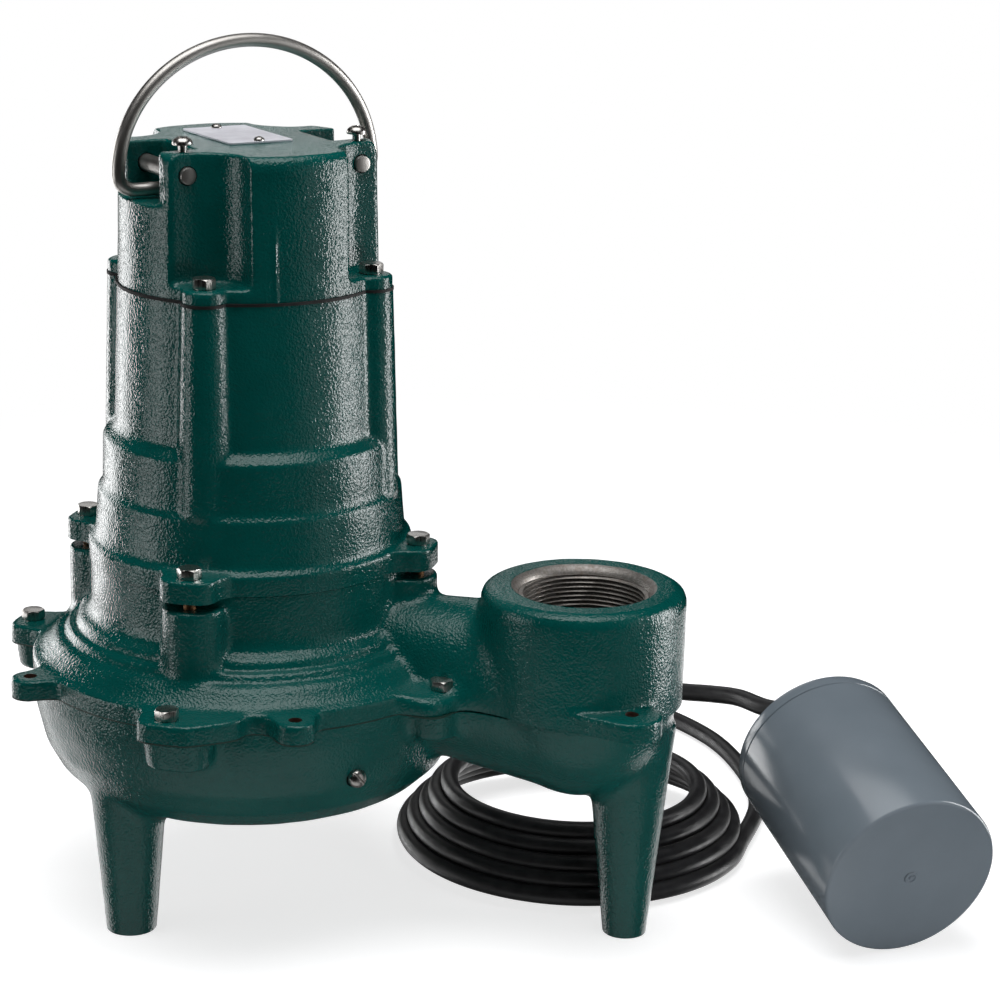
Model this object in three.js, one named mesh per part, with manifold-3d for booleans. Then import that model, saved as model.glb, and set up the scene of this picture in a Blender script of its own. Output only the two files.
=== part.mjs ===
// Submersible sump pump: a cast-iron volute on three legs, a sealed motor above it, a threaded
// riser port towards +X, a wire bail on top, a coiled power cord and a tethered float switch.
// Millimetres, +Z up, riser port towards +X. Everything is drawn about the motor shaft, with the
// floor at zero; the last lines then move it so that its footprint is centred on the origin.
import * as THREE from 'three';
import { mergeVertices } from 'three/addons/utils/BufferGeometryUtils.js';
import { ConvexGeometry } from 'three/addons/geometries/ConvexGeometry.js';
import Module from 'manifold-3d';

const wasm = await Module();
wasm.setup();

// ---------------------------------------------------------------- driving dimensions
const GAP = 0.3;                 // clearance kept between neighbouring pieces
const FACE_GAP = 0.1;            // clearance between stacked flat faces
const ROUND = 32;                // sides of a large turned surface
const BEYOND = 20;               // how far a cutting tool runs past the face it cuts

const SPLIT_Z = 120;             // joint plane of the two volute castings
const GASKET = 0.6;              // thickness of the volute gasket
const EAR_TOP_Z = 129.4;         // spot faces of the volute bolts
const NECK_TOP_Z = 176.6;        // top of the upper volute casting
const FLANGE_Z = 177;            // underside of the motor housing
const FLANGE_TOP_Z = 187.3;      // spot faces of the motor flange bolts
const HOUSING_TOP_Z = 310.6;     // top of the motor housing
const CAP_Z = 312;               // underside of the motor cap
const LEDGE_Z = 318.2;           // spot faces of the cap bolts
const CAP_TOP_Z = 378.4;          // top of the motor cap

const NECK_R = 77.8;             // neck of the upper volute casting
const RIM_R = 107;               // rim of the volute
const WALL = 7;                  // casting wall
const BOLT_R = 3;                // all hexagon bolts are 6 mm
const HEX_FLATS = 10;            // width across flats of a bolt head
const HEX_HEIGHT = 5;
const SPARE_HOLE_R = 3.2;        // open holes in the spare ears
const BLIND_Z = 108.5;           // the volute bolts end here, inside their bosses

const VOLUTE_BOLT_CIRCLE = 116.5;
const VOLUTE_BOLT_ANGLES = [180, -90, -20.7, 20.7, 90];
const SPARE_EAR_CIRCLE = 115.5;
const SPARE_EAR_ANGLES = [-135.8, -60.8, 60.8, 135.8];
const QUARTER_ANGLES = [-90, 0, 90, 180];
const FLANGE_BOLT_CIRCLE = 85.2;
const CAP_BOLT_CIRCLE = 61;

const PORT = { x: 169, y: -6.7, topZ: 176, outerR: 49, boreR: 30.4, chamferR: 34.8 };
const THROAT = { x: 84, halfWidth: 20, rise: 43, drop: 23, boreR: 15, boreZ: 119 };
const ELBOW = { halfWidth: 44.5, rise: 43, drop: 47, boreR: 34 };
const PORT_EAR = { x: 202.3, y: -49, r: 14.2, root: 20, tip: [42, -25.5], tangent: -55 };
const LEGS = [
  { x: -39.5, y: -66.7, footR: 11.8, topR: 18.5, topZ: 74 },
  { x: -42, y: 92, footR: 11.8, topR: 19.5, topZ: 100 },
  { x: 193, y: -3, footR: 10.4, topR: 22, topZ: 108 },
];
const SUCTION_R = 27;            // inlet under the bowl
const PLUG = { degrees: -43, z: 92, r: 104.1, tilt: 78, headR: 4.4, shankR: 3.6 };

const CAP_TURN = Math.PI / 4;    // the cap and its bail stand at 45 degrees to the port
const CAP_R = 62;                // round body of the cap
const LUG_HALF = 30;             // the lug pairs end at this distance from the centre plane
const BULGE_HALF = 25;           // half width of the wiring bulge
const HOLLOW = 20;               // radius of the hollowed corner behind each cap bolt
const SLOT = { front: -19.5, back: 16, inner: 35, outer: 54.5, floorZ: 354 };
const PIN = { u: 44.7, r: 4, z: 368, front: -32, back: 27 };
const PIN_SCREW = { y: -25, shankR: 2, headR: 4.7, headH: 3.1, standoff: 3.2 };
const BAIL = { u: 65.8, springZ: 365, topZ: 424.6, rodR: 3.2, hookZ: 358.2, hookEnd: 38.5 };
const NAMEPLATE = { halfWidth: 16.5, halfLength: 27, thick: 0.8, y: 11.3,
  rivetReach: 23.5, rivetR: 2.6 };
const CORD_U = [11.5, -11.5];    // power cord and float cord leave the back of the cap
const GLAND = { z: 338, bossY: 64, r: 8, flangeR: 9.6, endY: 82 };

const SHAFT = { r: 8, bottomZ: 112, topZ: 308 };
const STATOR = { bottom: 216, top: 280, outerR: 54.5, innerR: 29.5 };
const WINDING = { inner: 31.5, outer: 50, overhang: 14 };
const ROTOR_R = 28.9;
const BEARING = { z0: 181.3, z1: 192, outerR: 20, trackOuterR: 14.5, trackInnerR: 13.5 };
const SEAL_PLATE = { z0: 158.4, z1: 174, r: 68.6, seatR: 19 };
const IMPELLER = { r: 58, topZ: 127, shroudZ: 122, vaneZ: 100, hubTopZ: 137.5, hubR: 15 };
const VANES = 5;

const CORD_R = 4.65;
const COIL = { x: 142, y: 101, innerR: 64, pitchR: 6.1, pitchZ: 7.2, from: 170, to: 370 + 4 * 360 };
const FLOAT = { x: 330.2, y: 1.7, z: 42.7, r: 43.9, length: 111.7, heading: -56.9, dip: 14.2 };
const FLOAT_CAP = 9;             // length of the glued end cap on the float
const FLOAT_WALL = 3;
const BALL = { r: 12, front: 92, track: [34, 104] };
const TETHER = new THREE.Vector3(186, 166, 65);     // the float cord bends here

// ---------------------------------------------------------------- materials
const finish = (color, roughness, metalness) => () =>
  new THREE.MeshStandardMaterial({ color, roughness, metalness });
const GREEN_PAINT = finish(0x0b4a3c, 0.38, 0.1);
const STEEL = finish(0xb9b5ae, 0.28, 1);
const RUBBER = finish(0x1b1b1d, 0.75, 0);
const GREY_PLASTIC = finish(0x69737a, 0.35, 0);
const BLACK_PLASTIC = finish(0x222226, 0.5, 0);
const BRUSHED = finish(0xa9aab2, 0.35, 0.9);
const LAMINATION = finish(0x55565a, 0.6, 0.8);
const COPPER = finish(0x9c5a2c, 0.45, 0.8);
const CAST_IRON = finish(0x4a4a4c, 0.6, 0.7);
const BRASS = finish(0xb08d4a, 0.35, 1);
const CARBON = finish(0x2b2b2d, 0.5, 0.1);
const CERAMIC = finish(0xe6e0d2, 0.4, 0);

// ---------------------------------------------------------------- geometry helpers
const rad = THREE.MathUtils.degToRad;
const polar = (radius, degrees) =>
  new THREE.Vector2(radius * Math.cos(rad(degrees)), radius * Math.sin(rad(degrees)));

function solid(geometry) {
  const bare = geometry.clone();
  bare.deleteAttribute('normal');
  bare.deleteAttribute('uv');
  const merged = mergeVertices(bare, 1e-4);
  return new wasm.Manifold(new wasm.Mesh({
    numProp: 3,
    vertProperties: new Float32Array(merged.attributes.position.array),
    triVerts: new Uint32Array(merged.index.array),
  }));
}

function geometryOf(body) {
  const mesh = body.getMesh();
  const geometry = new THREE.BufferGeometry();
  geometry.setAttribute('position', new THREE.BufferAttribute(mesh.vertProperties, 3));
  geometry.setIndex(new THREE.BufferAttribute(mesh.triVerts, 1));
  geometry.computeVertexNormals();
  return geometry;
}

const asSolid = (shape) => (shape.isBufferGeometry ? solid(shape) : shape);
const join = (...shapes) => shapes.map(asSolid).reduce((a, b) => a.add(b));
const cut = (body, ...tools) => tools.map(asSolid).reduce((a, b) => a.subtract(b), asSolid(body));
const common = (a, b) => asSolid(a).intersect(asSolid(b));

// A profile of [radius, height] pairs turned about Z. It starts and ends on the axis, or closes.
function turned(profile, segments = ROUND) {
  const points = profile.map(([r, z]) => new THREE.Vector2(r, z));
  const onAxis = points[0].x === 0 && points[points.length - 1].x === 0;
  if (!onAxis) points.push(points[0].clone());
  const area = points.reduce((sum, p, i) => {
    const q = points[(i + 1) % points.length];
    return sum + p.x * q.y - q.x * p.y;
  }, 0);
  if (area < 0) points.reverse();
  return new THREE.LatheGeometry(points, segments).rotateX(Math.PI / 2);
}

const disc = (radius, z0, z1, segments = 32) =>
  turned([[0, z0], [radius, z0], [radius, z1], [0, z1]], segments);
const ring = (inner, outer, z0, z1, segments = 32) =>
  turned([[inner, z0], [outer, z0], [outer, z1], [inner, z1]], segments);
const cone = (r0, r1, z0, z1, segments = 24) =>
  turned([[0, z0], [r0, z0], [r1, z1], [0, z1]], segments);

function block(x0, x1, y0, y1, z0, z1) {
  return new THREE.BoxGeometry(x1 - x0, y1 - y0, z1 - z0)
    .translate((x0 + x1) / 2, (y0 + y1) / 2, (z0 + z1) / 2);
}

// A flat outline of Vector2 points raised from z0 to z1.
function raised(points, z0, z1) {
  const options = { depth: z1 - z0, bevelEnabled: false, steps: 1 };
  return new THREE.ExtrudeGeometry(new THREE.Shape(points), options).translate(0, 0, z0);
}

// A round bar swept along a smooth curve through points.
function swept(points, radius, steps, sides = 8) {
  const path = new THREE.CatmullRomCurve3(points, false, 'centripetal');
  path.arcLengthDivisions = steps * 4;
  const circle = new THREE.Shape(Array.from({ length: sides }, (_, i) =>
    polar(radius, (360 * i) / sides)));
  return new THREE.ExtrudeGeometry(circle, { steps, bevelEnabled: false, extrudePath: path });
}

// Drops the points of a closed outline that lie within tolerance of the line past them.
function simplified(points, tolerance) {
  const kept = [points[0]];
  let from = 0;
  for (let to = 2; to < points.length; to += 1) {
    const chord = points[to].clone().sub(points[from]);
    const strays = points.slice(from + 1, to).some((p) =>
      Math.abs(chord.cross(p.clone().sub(points[from]))) > tolerance * chord.length());
    if (strays) {
      from = to - 1;
      kept.push(points[from]);
    }
  }
  return [...kept, points[points.length - 1]];
}

// Outline of a round flange with radius base and round ears {circle, degrees, r}, each ear
// flaring back into the flange over the width flare on both sides.
function earedOutline(base, ears, flare = 8, tolerance = 0.4) {
  const turns = Array.from({ length: 480 }, (_, i) => (360 * i) / 480);
  return simplified(turns.map((degrees) => {
    const radius = ears.reduce((reach, ear) => {
      const off = rad(degrees - ear.degrees);
      const across = Math.abs(ear.circle * Math.sin(off));
      const centre = ear.circle * Math.cos(off);
      if (centre <= 0 || across >= ear.r + flare) return reach;
      if (across < ear.r) return Math.max(reach, centre + Math.sqrt(ear.r ** 2 - across ** 2));
      return Math.max(reach, base + (centre - base) * (1 - (across - ear.r) / flare) ** 2);
    }, base);
    return polar(radius, degrees);
  }), tolerance);
}

// A bolting pad is a row of round ears from one angle to another.
function pad(circle, from, to, r, count = 4) {
  return Array.from({ length: count }, (_, i) =>
    ({ circle, degrees: from + ((to - from) * i) / (count - 1), r }));
}
const earsAt = (circle, angles, r) => angles.map((degrees) => ({ circle, degrees, r }));

function atAngle(geometry, circle, degrees) {
  const p = polar(circle, degrees);
  return geometry.clone().translate(p.x, p.y, 0);
}
const aroundCircle = (geometry, circle, angles) => angles.map((a) => atAngle(geometry, circle, a));

// ---------------------------------------------------------------- the assembly
const pump = new THREE.Group();
const capFrame = new THREE.Group();      // X along the bail, -Y towards the pin screws
capFrame.rotation.z = CAP_TURN;
pump.add(capFrame);

function place(name, shape, material, parent = pump) {
  const geometry = shape.isBufferGeometry ? shape : geometryOf(shape);
  const mesh = new THREE.Mesh(geometry, material());
  mesh.name = name;
  parent.add(mesh);
  return mesh;
}

const boltHole = (z0, z1) => disc(BOLT_R + GAP, z0, z1, 8);
const spareHole = disc(SPARE_HOLE_R, SPLIT_Z - BEYOND, EAR_TOP_Z + BEYOND, 8);

// ---------------------------------------------------------------- volute castings
const PAD_R = 9;                 // ears reach this far past the bolt circle
const PAD_TURN = 2.6;            // a pad runs this many degrees past its bolt
const LONG_PAD_TURN = 12;        // except on the side pads, which run on towards the port
const BOSS_ANGLES = [...VOLUTE_BOLT_ANGLES, -86, 83, -15.5, 15.5];     // bosses under the pads
const voluteEars = [
  ...pad(VOLUTE_BOLT_CIRCLE, 180 - PAD_TURN, 180 + PAD_TURN, PAD_R, 3),
  ...pad(VOLUTE_BOLT_CIRCLE, -90 - PAD_TURN, -86, PAD_R, 3),
  ...Array.from({ length: 9 }, (_, i) =>            // and then draws in towards the rim
    ({ circle: VOLUTE_BOLT_CIRCLE - 1.1 * i, degrees: -85.5 + i, r: PAD_R })),
  ...pad(VOLUTE_BOLT_CIRCLE, 90 - LONG_PAD_TURN, 90 + PAD_TURN, PAD_R, 5),
  ...pad(VOLUTE_BOLT_CIRCLE, -20.7 - 1.5 * PAD_TURN, -12, PAD_R),
  ...pad(VOLUTE_BOLT_CIRCLE, 12, 20.7 + 1.5 * PAD_TURN, PAD_R),
  ...earsAt(SPARE_EAR_CIRCLE, SPARE_EAR_ANGLES, PAD_R),
];
const voluteOutline = () => earedOutline(RIM_R, voluteEars, 6);

// The throat that carries water from the bowl to the riser port: half of an oval duct that
// widens towards the port, above the joint plane (side 1) or below it (side -1).
function throatHalf(side, z) {
  const ends = [
    [THROAT.x - 44, THROAT.halfWidth, side > 0 ? THROAT.rise : THROAT.drop],
    [THROAT.x, THROAT.halfWidth, side > 0 ? THROAT.rise : THROAT.drop],
    [PORT.x, ELBOW.halfWidth, side > 0 ? ELBOW.rise : ELBOW.drop],
  ];
  const sides = 12;
  const points = ends.flatMap(([x, halfWidth, height]) =>
    Array.from({ length: sides + 1 }, (_, i) => {
      const turn = (Math.PI * i) / sides;
      return new THREE.Vector3(x, PORT.y + halfWidth * Math.cos(turn),
        z + side * height * Math.sin(turn));
    }));
  return new ConvexGeometry(points);
}
const throatBore = () => cone(THROAT.boreR, ELBOW.boreR, 60, PORT.x, 16)
  .rotateY(Math.PI / 2).translate(0, PORT.y, THROAT.boreZ);
const elbowBore = () =>
  new THREE.SphereGeometry(ELBOW.boreR, 16, 8).translate(PORT.x, PORT.y, THROAT.boreZ);

// The spare ear on the port: a round ear with a wing that starts at the port wall, at tip, and
// runs into the ear's edge at the angle tangent.
function portEar(z0, z1) {
  const reach = Math.hypot(PORT_EAR.x - PORT.x, PORT_EAR.y - PORT.y);
  const outline = new THREE.Shape();
  outline.moveTo(PORT_EAR.root, PORT_EAR.tip[1]);
  outline.lineTo(...PORT_EAR.tip);
  outline.absarc(reach, 0, PORT_EAR.r, rad(PORT_EAR.tangent), Math.PI / 2, false);
  outline.lineTo(PORT_EAR.root, PORT_EAR.r);
  return raised(outline.getPoints(6), z0, z1)
    .rotateZ(Math.atan2(PORT_EAR.y - PORT.y, PORT_EAR.x - PORT.x))
    .translate(PORT.x, PORT.y, 0);
}

const UPPER_BASE_Z = SPLIT_Z + GASKET / 2 + FACE_GAP;
const LOWER_TOP_Z = SPLIT_Z - GASKET / 2 - FACE_GAP;

function upperCasing() {
  const base = UPPER_BASE_Z;
  const dome = turned([
    [0, base], [RIM_R, base], [RIM_R, base + 2.5], [105.2, 126.8], [101.5, 131.8], [97, 136],
    [89.6, 140.4], [86.8, 143.8], [83.6, 147.8], [79.4, 149.4], [NECK_R, 152],
    [NECK_R, NECK_TOP_Z], [0, NECK_TOP_Z],
  ]);
  const flange = raised(voluteOutline(), base, EAR_TOP_Z);
  const columns = aroundCircle(disc(15, base + 6, NECK_TOP_Z - 4, 16), 79.4, QUARTER_ANGLES);
  const port = turned([
    [0, base], [PORT.outerR - 0.6, base], [PORT.outerR, PORT.topZ - 5.5],
    [PORT.outerR - 1.4, PORT.topZ - 2], [PORT.outerR - 5.2, PORT.topZ], [0, PORT.topZ],
  ]).translate(PORT.x, PORT.y, 0);
  const body = join(dome, flange, port, throatHalf(1, base), portEar(base, EAR_TOP_Z), ...columns);
  const chamber = turned([
    [0, base - 5], [RIM_R - WALL - 3, base - 5], [RIM_R - WALL - 6, 127], [70, 140],
    [62, 146], [62, SEAL_PLATE.z0 - GAP], [SEAL_PLATE.r + GAP, SEAL_PLATE.z0 - GAP],
    [SEAL_PLATE.r + GAP, NECK_TOP_Z + BEYOND], [0, NECK_TOP_Z + BEYOND],
  ], 24);
  const riser = disc(PORT.boreR, THROAT.boreZ, PORT.topZ + BEYOND, 32).translate(PORT.x, PORT.y, 0);
  const chamfer = cone(PORT.boreR - 1, PORT.chamferR + 0.9, PORT.topZ - 6, PORT.topZ + 1, 32)
    .translate(PORT.x, PORT.y, 0);
  const spotFaces = aroundCircle(disc(7.2, EAR_TOP_Z, EAR_TOP_Z + BEYOND, 16),
    VOLUTE_BOLT_CIRCLE, VOLUTE_BOLT_ANGLES);
  return cut(body, chamber, throatBore(), elbowBore(), riser, chamfer, ...spotFaces,
    ...aroundCircle(boltHole(base - BEYOND, EAR_TOP_Z + BEYOND),
      VOLUTE_BOLT_CIRCLE, VOLUTE_BOLT_ANGLES),
    ...aroundCircle(boltHole(152, NECK_TOP_Z + BEYOND), FLANGE_BOLT_CIRCLE, QUARTER_ANGLES),
    ...aroundCircle(spareHole, SPARE_EAR_CIRCLE, SPARE_EAR_ANGLES),
    spareHole.clone().translate(PORT_EAR.x, PORT_EAR.y, 0));
}

// Turns a piece made about Z so that it lies along the drain plug's axis.
function alongPlug(geometry) {
  const p = polar(PLUG.r, PLUG.degrees);
  return geometry.clone().rotateY(rad(PLUG.tilt)).rotateZ(rad(PLUG.degrees))
    .translate(p.x, p.y, PLUG.z);
}

function lowerCasing() {
  const top = LOWER_TOP_Z;
  const bowl = turned([
    [0, 57.5], [56, 58.2], [74, 61.6], [87, 67.2], [96, 75.6], [102, 87], [105.6, 102],
    [RIM_R, 112], [RIM_R, top], [0, top],
  ]);
  const bosses = aroundCircle(cone(11, 13, 106, top, 12), VOLUTE_BOLT_CIRCLE - 4, BOSS_ANGLES);
  const legs = LEGS.map((leg) => cone(leg.footR, leg.topR, 0, leg.topZ, 16)
    .translate(leg.x, leg.y, 0));
  const elbow = common(
    new THREE.SphereGeometry(1, 20, 10)
      .scale(ELBOW.halfWidth, ELBOW.halfWidth, ELBOW.drop).translate(PORT.x, PORT.y, top),
    block(100, 240, -80, 80, 0, top));
  const body = join(bowl, throatHalf(-1, top), elbow, ...bosses, ...legs);
  const chamber = turned([
    [0, 64.5], [50, 65], [76, 71], [89, 82], [96, 96], [98.5, top + 5], [0, top + 5],
  ], 24);
  return cut(body, chamber, throatBore(), elbowBore(), disc(SUCTION_R, 0, 70, 24),
    ...aroundCircle(boltHole(BLIND_Z, top + BEYOND), VOLUTE_BOLT_CIRCLE, VOLUTE_BOLT_ANGLES),
    alongPlug(disc(PLUG.shankR + GAP, -30, 30, 12)));
}

function casingGasket() {
  const [z0, z1] = [SPLIT_Z - GASKET / 2, SPLIT_Z + GASKET / 2];
  const sheet = join(raised(voluteOutline(), z0, z1),
    disc(ELBOW.halfWidth - 1, z0, z1, 28).translate(PORT.x, PORT.y, 0),
    block(60, PORT.x, PORT.y - THROAT.halfWidth, PORT.y + THROAT.halfWidth, z0, z1));
  return cut(sheet, disc(RIM_R - WALL - 1, z0 - 1, z1 + 1, 36),
    block(60, PORT.x, PORT.y - THROAT.boreR, PORT.y + THROAT.boreR, z0 - 1, z1 + 1),
    disc(ELBOW.boreR + 1, z0 - 1, z1 + 1, 28).translate(PORT.x, PORT.y, 0),
    ...aroundCircle(boltHole(z0 - 1, z1 + 1), VOLUTE_BOLT_CIRCLE, VOLUTE_BOLT_ANGLES),
    ...aroundCircle(spareHole, SPARE_EAR_CIRCLE, SPARE_EAR_ANGLES));
}

place('upper_casing', upperCasing(), GREEN_PAINT);
place('lower_casing', lowerCasing(), GREEN_PAINT);
place('casing_gasket', casingGasket(), RUBBER);
place('drain_plug', alongPlug(turned([
  [0, -8], [PLUG.shankR, -8], [PLUG.shankR, 0.9], [PLUG.headR, 0.9], [PLUG.headR, 3],
  [PLUG.headR - 0.9, 4], [0, 4],
], 12)), STEEL);

// ---------------------------------------------------------------- motor housing
const flangeEars = QUARTER_ANGLES.flatMap((a) => pad(FLANGE_BOLT_CIRCLE, a - 3.6, a + 3, 8.6, 4));
const capEars = earsAt(CAP_BOLT_CIRCLE, QUARTER_ANGLES, 10.2);

function motorHousing() {
  const shell = turned([
    [0, FLANGE_Z], [78.4, FLANGE_Z], [78.6, FLANGE_TOP_Z - 1], [75.4, FLANGE_TOP_Z + 1.4],
    [74.4, 200], [73.6, 211.2], [71.2, 213.4], [70.6, 237.4], [65, 242.6],
    [62.4, HOUSING_TOP_Z],
    [0, HOUSING_TOP_Z],
  ]);
  const flange = raised(earedOutline(77, flangeEars, 12), FLANGE_Z, FLANGE_TOP_Z);
  const columns = aroundCircle(cone(13.6, 10.4, 212, HOUSING_TOP_Z, 16),
    CAP_BOLT_CIRCLE, QUARTER_ANGLES);
  const cavity = turned([
    [0, 193], [50, 193], [STATOR.outerR + GAP, 205], [STATOR.outerR + GAP, HOUSING_TOP_Z + 9],
    [0, HOUSING_TOP_Z + 9],
  ], 28);
  return cut(join(shell, flange, ...columns), cavity,
    disc(BEARING.outerR + GAP, BEARING.z0 - GAP, 200, 20), disc(12, 170, 200, 16),
    ...aroundCircle(boltHole(FLANGE_Z - 5, FLANGE_TOP_Z + 5), FLANGE_BOLT_CIRCLE, QUARTER_ANGLES),
    ...aroundCircle(boltHole(288, HOUSING_TOP_Z + 5), CAP_BOLT_CIRCLE, QUARTER_ANGLES));
}

function capGasket() {
  const [z0, z1] = [HOUSING_TOP_Z + FACE_GAP, CAP_Z - FACE_GAP];
  return cut(raised(earedOutline(CAP_R + 1, earsAt(CAP_BOLT_CIRCLE, QUARTER_ANGLES, 10.9), 6),
    z0, z1), disc(55.5, z0 - 1, z1 + 1, 28),
  ...aroundCircle(boltHole(z0 - 1, z1 + 1), CAP_BOLT_CIRCLE, QUARTER_ANGLES));
}

place('motor_housing', motorHousing(), GREEN_PAINT);
place('cap_gasket', capGasket(), RUBBER);

// ---------------------------------------------------------------- motor cap, in the turned frame
const CAP_ANGLES = QUARTER_ANGLES.map((a) => a - THREE.MathUtils.radToDeg(CAP_TURN));

// Plan of the cap above its ledge: a cross whose inner corners are hollowed for the four bolts.
function capCross(inset = 0) {
  const [a, b, far] = [BULGE_HALF - inset, LUG_HALF - inset, 80];
  const cove = Array.from({ length: 6 }, (_, i) =>
    polar(HOLLOW, 270 - 18 * i).add(new THREE.Vector2(a + HOLLOW, b + HOLLOW)));
  const corner = [new THREE.Vector2(far, b), ...cove, new THREE.Vector2(a, far)];
  const flip = (points, sx, sy) => points.map((p) => new THREE.Vector2(sx * p.x, sy * p.y));
  return [...corner, ...flip(corner, -1, 1).reverse(), ...flip(corner, -1, -1),
    ...flip(corner, 1, -1).reverse()];
}

function motorCap() {
  const ears = earsAt(CAP_BOLT_CIRCLE, CAP_ANGLES, 10.2);
  const ledge = raised(earedOutline(CAP_R, ears, 6), CAP_Z, LEDGE_Z);
  const rounded = turned([
    [0, CAP_Z], [CAP_R, CAP_Z], [CAP_R - 1.2, CAP_TOP_Z - 6], [CAP_R - 2.4, CAP_TOP_Z - 2.4],
    [CAP_R - 5.5, CAP_TOP_Z], [0, CAP_TOP_Z],
  ]);
  const tower = common(rounded, raised(capCross(), CAP_Z, CAP_TOP_Z + 5));
  const cordBosses = CORD_U.map((u) => disc(11, 40, GLAND.bossY, 16)
    .rotateX(-Math.PI / 2).translate(u, 0, GLAND.z));
  const bothSides = (x0, x1, ...rest) => [block(x0, x1, ...rest), block(-x1, -x0, ...rest)];
  const slots = bothSides(SLOT.inner, 80, SLOT.front, SLOT.back, SLOT.floorZ, CAP_TOP_Z + 5);
  const shoulders = bothSides(SLOT.outer, 80, -40, 40, SLOT.floorZ, CAP_TOP_Z + 5);
  const cavity = block(-19, 19, -50, 50, CAP_Z - 5, CAP_TOP_Z - 8);
  const well = common(disc(50, CAP_Z - 5, LEDGE_Z + 12, 24),
    raised(capCross(7), CAP_Z - 5, LEDGE_Z + BEYOND));
  const pinHoles = [PIN.u, -PIN.u].map((u) => disc(PIN.r + GAP, PIN.front - 9, PIN.back + GAP, 12)
    .rotateX(-Math.PI / 2).translate(u, 0, PIN.z));
  const screwHoles = [PIN.u, -PIN.u].map((u) =>
    disc(PIN_SCREW.shankR + GAP, PIN.z, CAP_TOP_Z + 5, 10).translate(u, PIN_SCREW.y, 0));
  const cordHoles = CORD_U.map((u) => disc(GLAND.r + GAP, 40, 80, 16)
    .rotateX(-Math.PI / 2).translate(u, 0, GLAND.z));
  return cut(join(ledge, tower, ...cordBosses), cavity, well, ...slots, ...shoulders,
    ...pinHoles, ...screwHoles, ...cordHoles,
    ...aroundCircle(boltHole(CAP_Z - 5, LEDGE_Z + 1), CAP_BOLT_CIRCLE, CAP_ANGLES));
}

// The bail: a wire arch whose feet turn inwards under the pins, made left foot to right foot.
function bail() {
  const foot = [
    [BAIL.hookEnd, BAIL.hookZ], [BAIL.hookEnd + 9, BAIL.hookZ], [BAIL.hookEnd + 20, BAIL.hookZ],
    [BAIL.u - 6.5, BAIL.hookZ + 0.8], [BAIL.u - 2, BAIL.hookZ + 3],
  ];
  const arch = Array.from({ length: 15 }, (_, i) => {
    const turn = (Math.PI * i) / 14;
    return [BAIL.u * Math.cos(turn), BAIL.springZ + (BAIL.topZ - BAIL.springZ) * Math.sin(turn)];
  });
  const left = foot.map(([x, z]) => [-x, z]).reverse();
  const points = [...foot, ...arch, ...left].map(([x, z]) => new THREE.Vector3(x, 0, z));
  return swept(points, BAIL.rodR, 38, 6);
}

const bar = (radius, y0, y1, segments = 12) =>
  disc(radius, y0, y1, segments).rotateX(-Math.PI / 2);
const panScrew = () => turned([
  [0, PIN.z + PIN.r + 0.5], [PIN_SCREW.shankR, PIN.z + PIN.r + 0.5],
  [PIN_SCREW.shankR, CAP_TOP_Z + PIN_SCREW.standoff], [PIN_SCREW.headR, CAP_TOP_Z + PIN_SCREW.standoff],
  [PIN_SCREW.headR - 0.2, CAP_TOP_Z + PIN_SCREW.standoff + 1.2],
  [PIN_SCREW.headR / 2, CAP_TOP_Z + PIN_SCREW.standoff + PIN_SCREW.headH],
  [0, CAP_TOP_Z + PIN_SCREW.standoff + PIN_SCREW.headH],
], 12);
const rivet = () => turned([
  [0, CAP_TOP_Z + FACE_GAP], [1.2, CAP_TOP_Z + FACE_GAP], [1.2, CAP_TOP_Z + NAMEPLATE.thick + 0.3],
  [NAMEPLATE.rivetR, CAP_TOP_Z + NAMEPLATE.thick + 0.3],
  [NAMEPLATE.rivetR * 0.75, CAP_TOP_Z + NAMEPLATE.thick + 1.5],
  [0, CAP_TOP_Z + NAMEPLATE.thick + 2.1],
], 10);

place('motor_cap', motorCap(), GREEN_PAINT, capFrame);
place('bail_handle', bail(), STEEL, capFrame);
for (const [side, u] of [['right', PIN.u], ['left', -PIN.u]]) {
  place(`handle_pin_${side}`, bar(PIN.r, PIN.front, PIN.back), STEEL, capFrame)
    .position.set(u, 0, PIN.z);
  place(`pin_screw_${side}`, panScrew(), STEEL, capFrame).position.set(u, PIN_SCREW.y, 0);
}

const plateBase = CAP_TOP_Z + FACE_GAP;
place('nameplate', cut(
  block(-NAMEPLATE.halfWidth, NAMEPLATE.halfWidth, -NAMEPLATE.halfLength, NAMEPLATE.halfLength,
    plateBase, plateBase + NAMEPLATE.thick - FACE_GAP),
  ...[1, -1].map((side) => disc(1.5, CAP_TOP_Z - 1, CAP_TOP_Z + 3, 12)
    .translate(0, side * NAMEPLATE.rivetReach, 0)),
), BRUSHED, capFrame).position.y = NAMEPLATE.y;
for (const [end, side] of [['front', -1], ['back', 1]]) {
  place(`nameplate_rivet_${end}`, rivet(), STEEL, capFrame)
    .position.y = NAMEPLATE.y + side * NAMEPLATE.rivetReach;
}

// ---------------------------------------------------------------- hexagon bolts
function hexBolt(seatZ, length) {
  const corner = HEX_FLATS / 2 / Math.cos(Math.PI / 6);
  return join(disc(corner, seatZ + FACE_GAP, seatZ + FACE_GAP + HEX_HEIGHT, 6),
    disc(BOLT_R, seatZ - length, seatZ + 1, 10));
}
const boltSet = (name, seatZ, length, circle, angles) => angles.forEach((degrees, i) => {
  const p = polar(circle, degrees);
  place(`${name}_${i + 1}`, hexBolt(seatZ, length), STEEL).position.set(p.x, p.y, 0);
});
boltSet('cap_bolt', LEDGE_Z, 26, CAP_BOLT_CIRCLE, QUARTER_ANGLES);
boltSet('flange_bolt', FLANGE_TOP_Z, 32, FLANGE_BOLT_CIRCLE, QUARTER_ANGLES);
boltSet('casing_bolt', EAR_TOP_Z, EAR_TOP_Z - BLIND_Z - GAP, VOLUTE_BOLT_CIRCLE, VOLUTE_BOLT_ANGLES);

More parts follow.
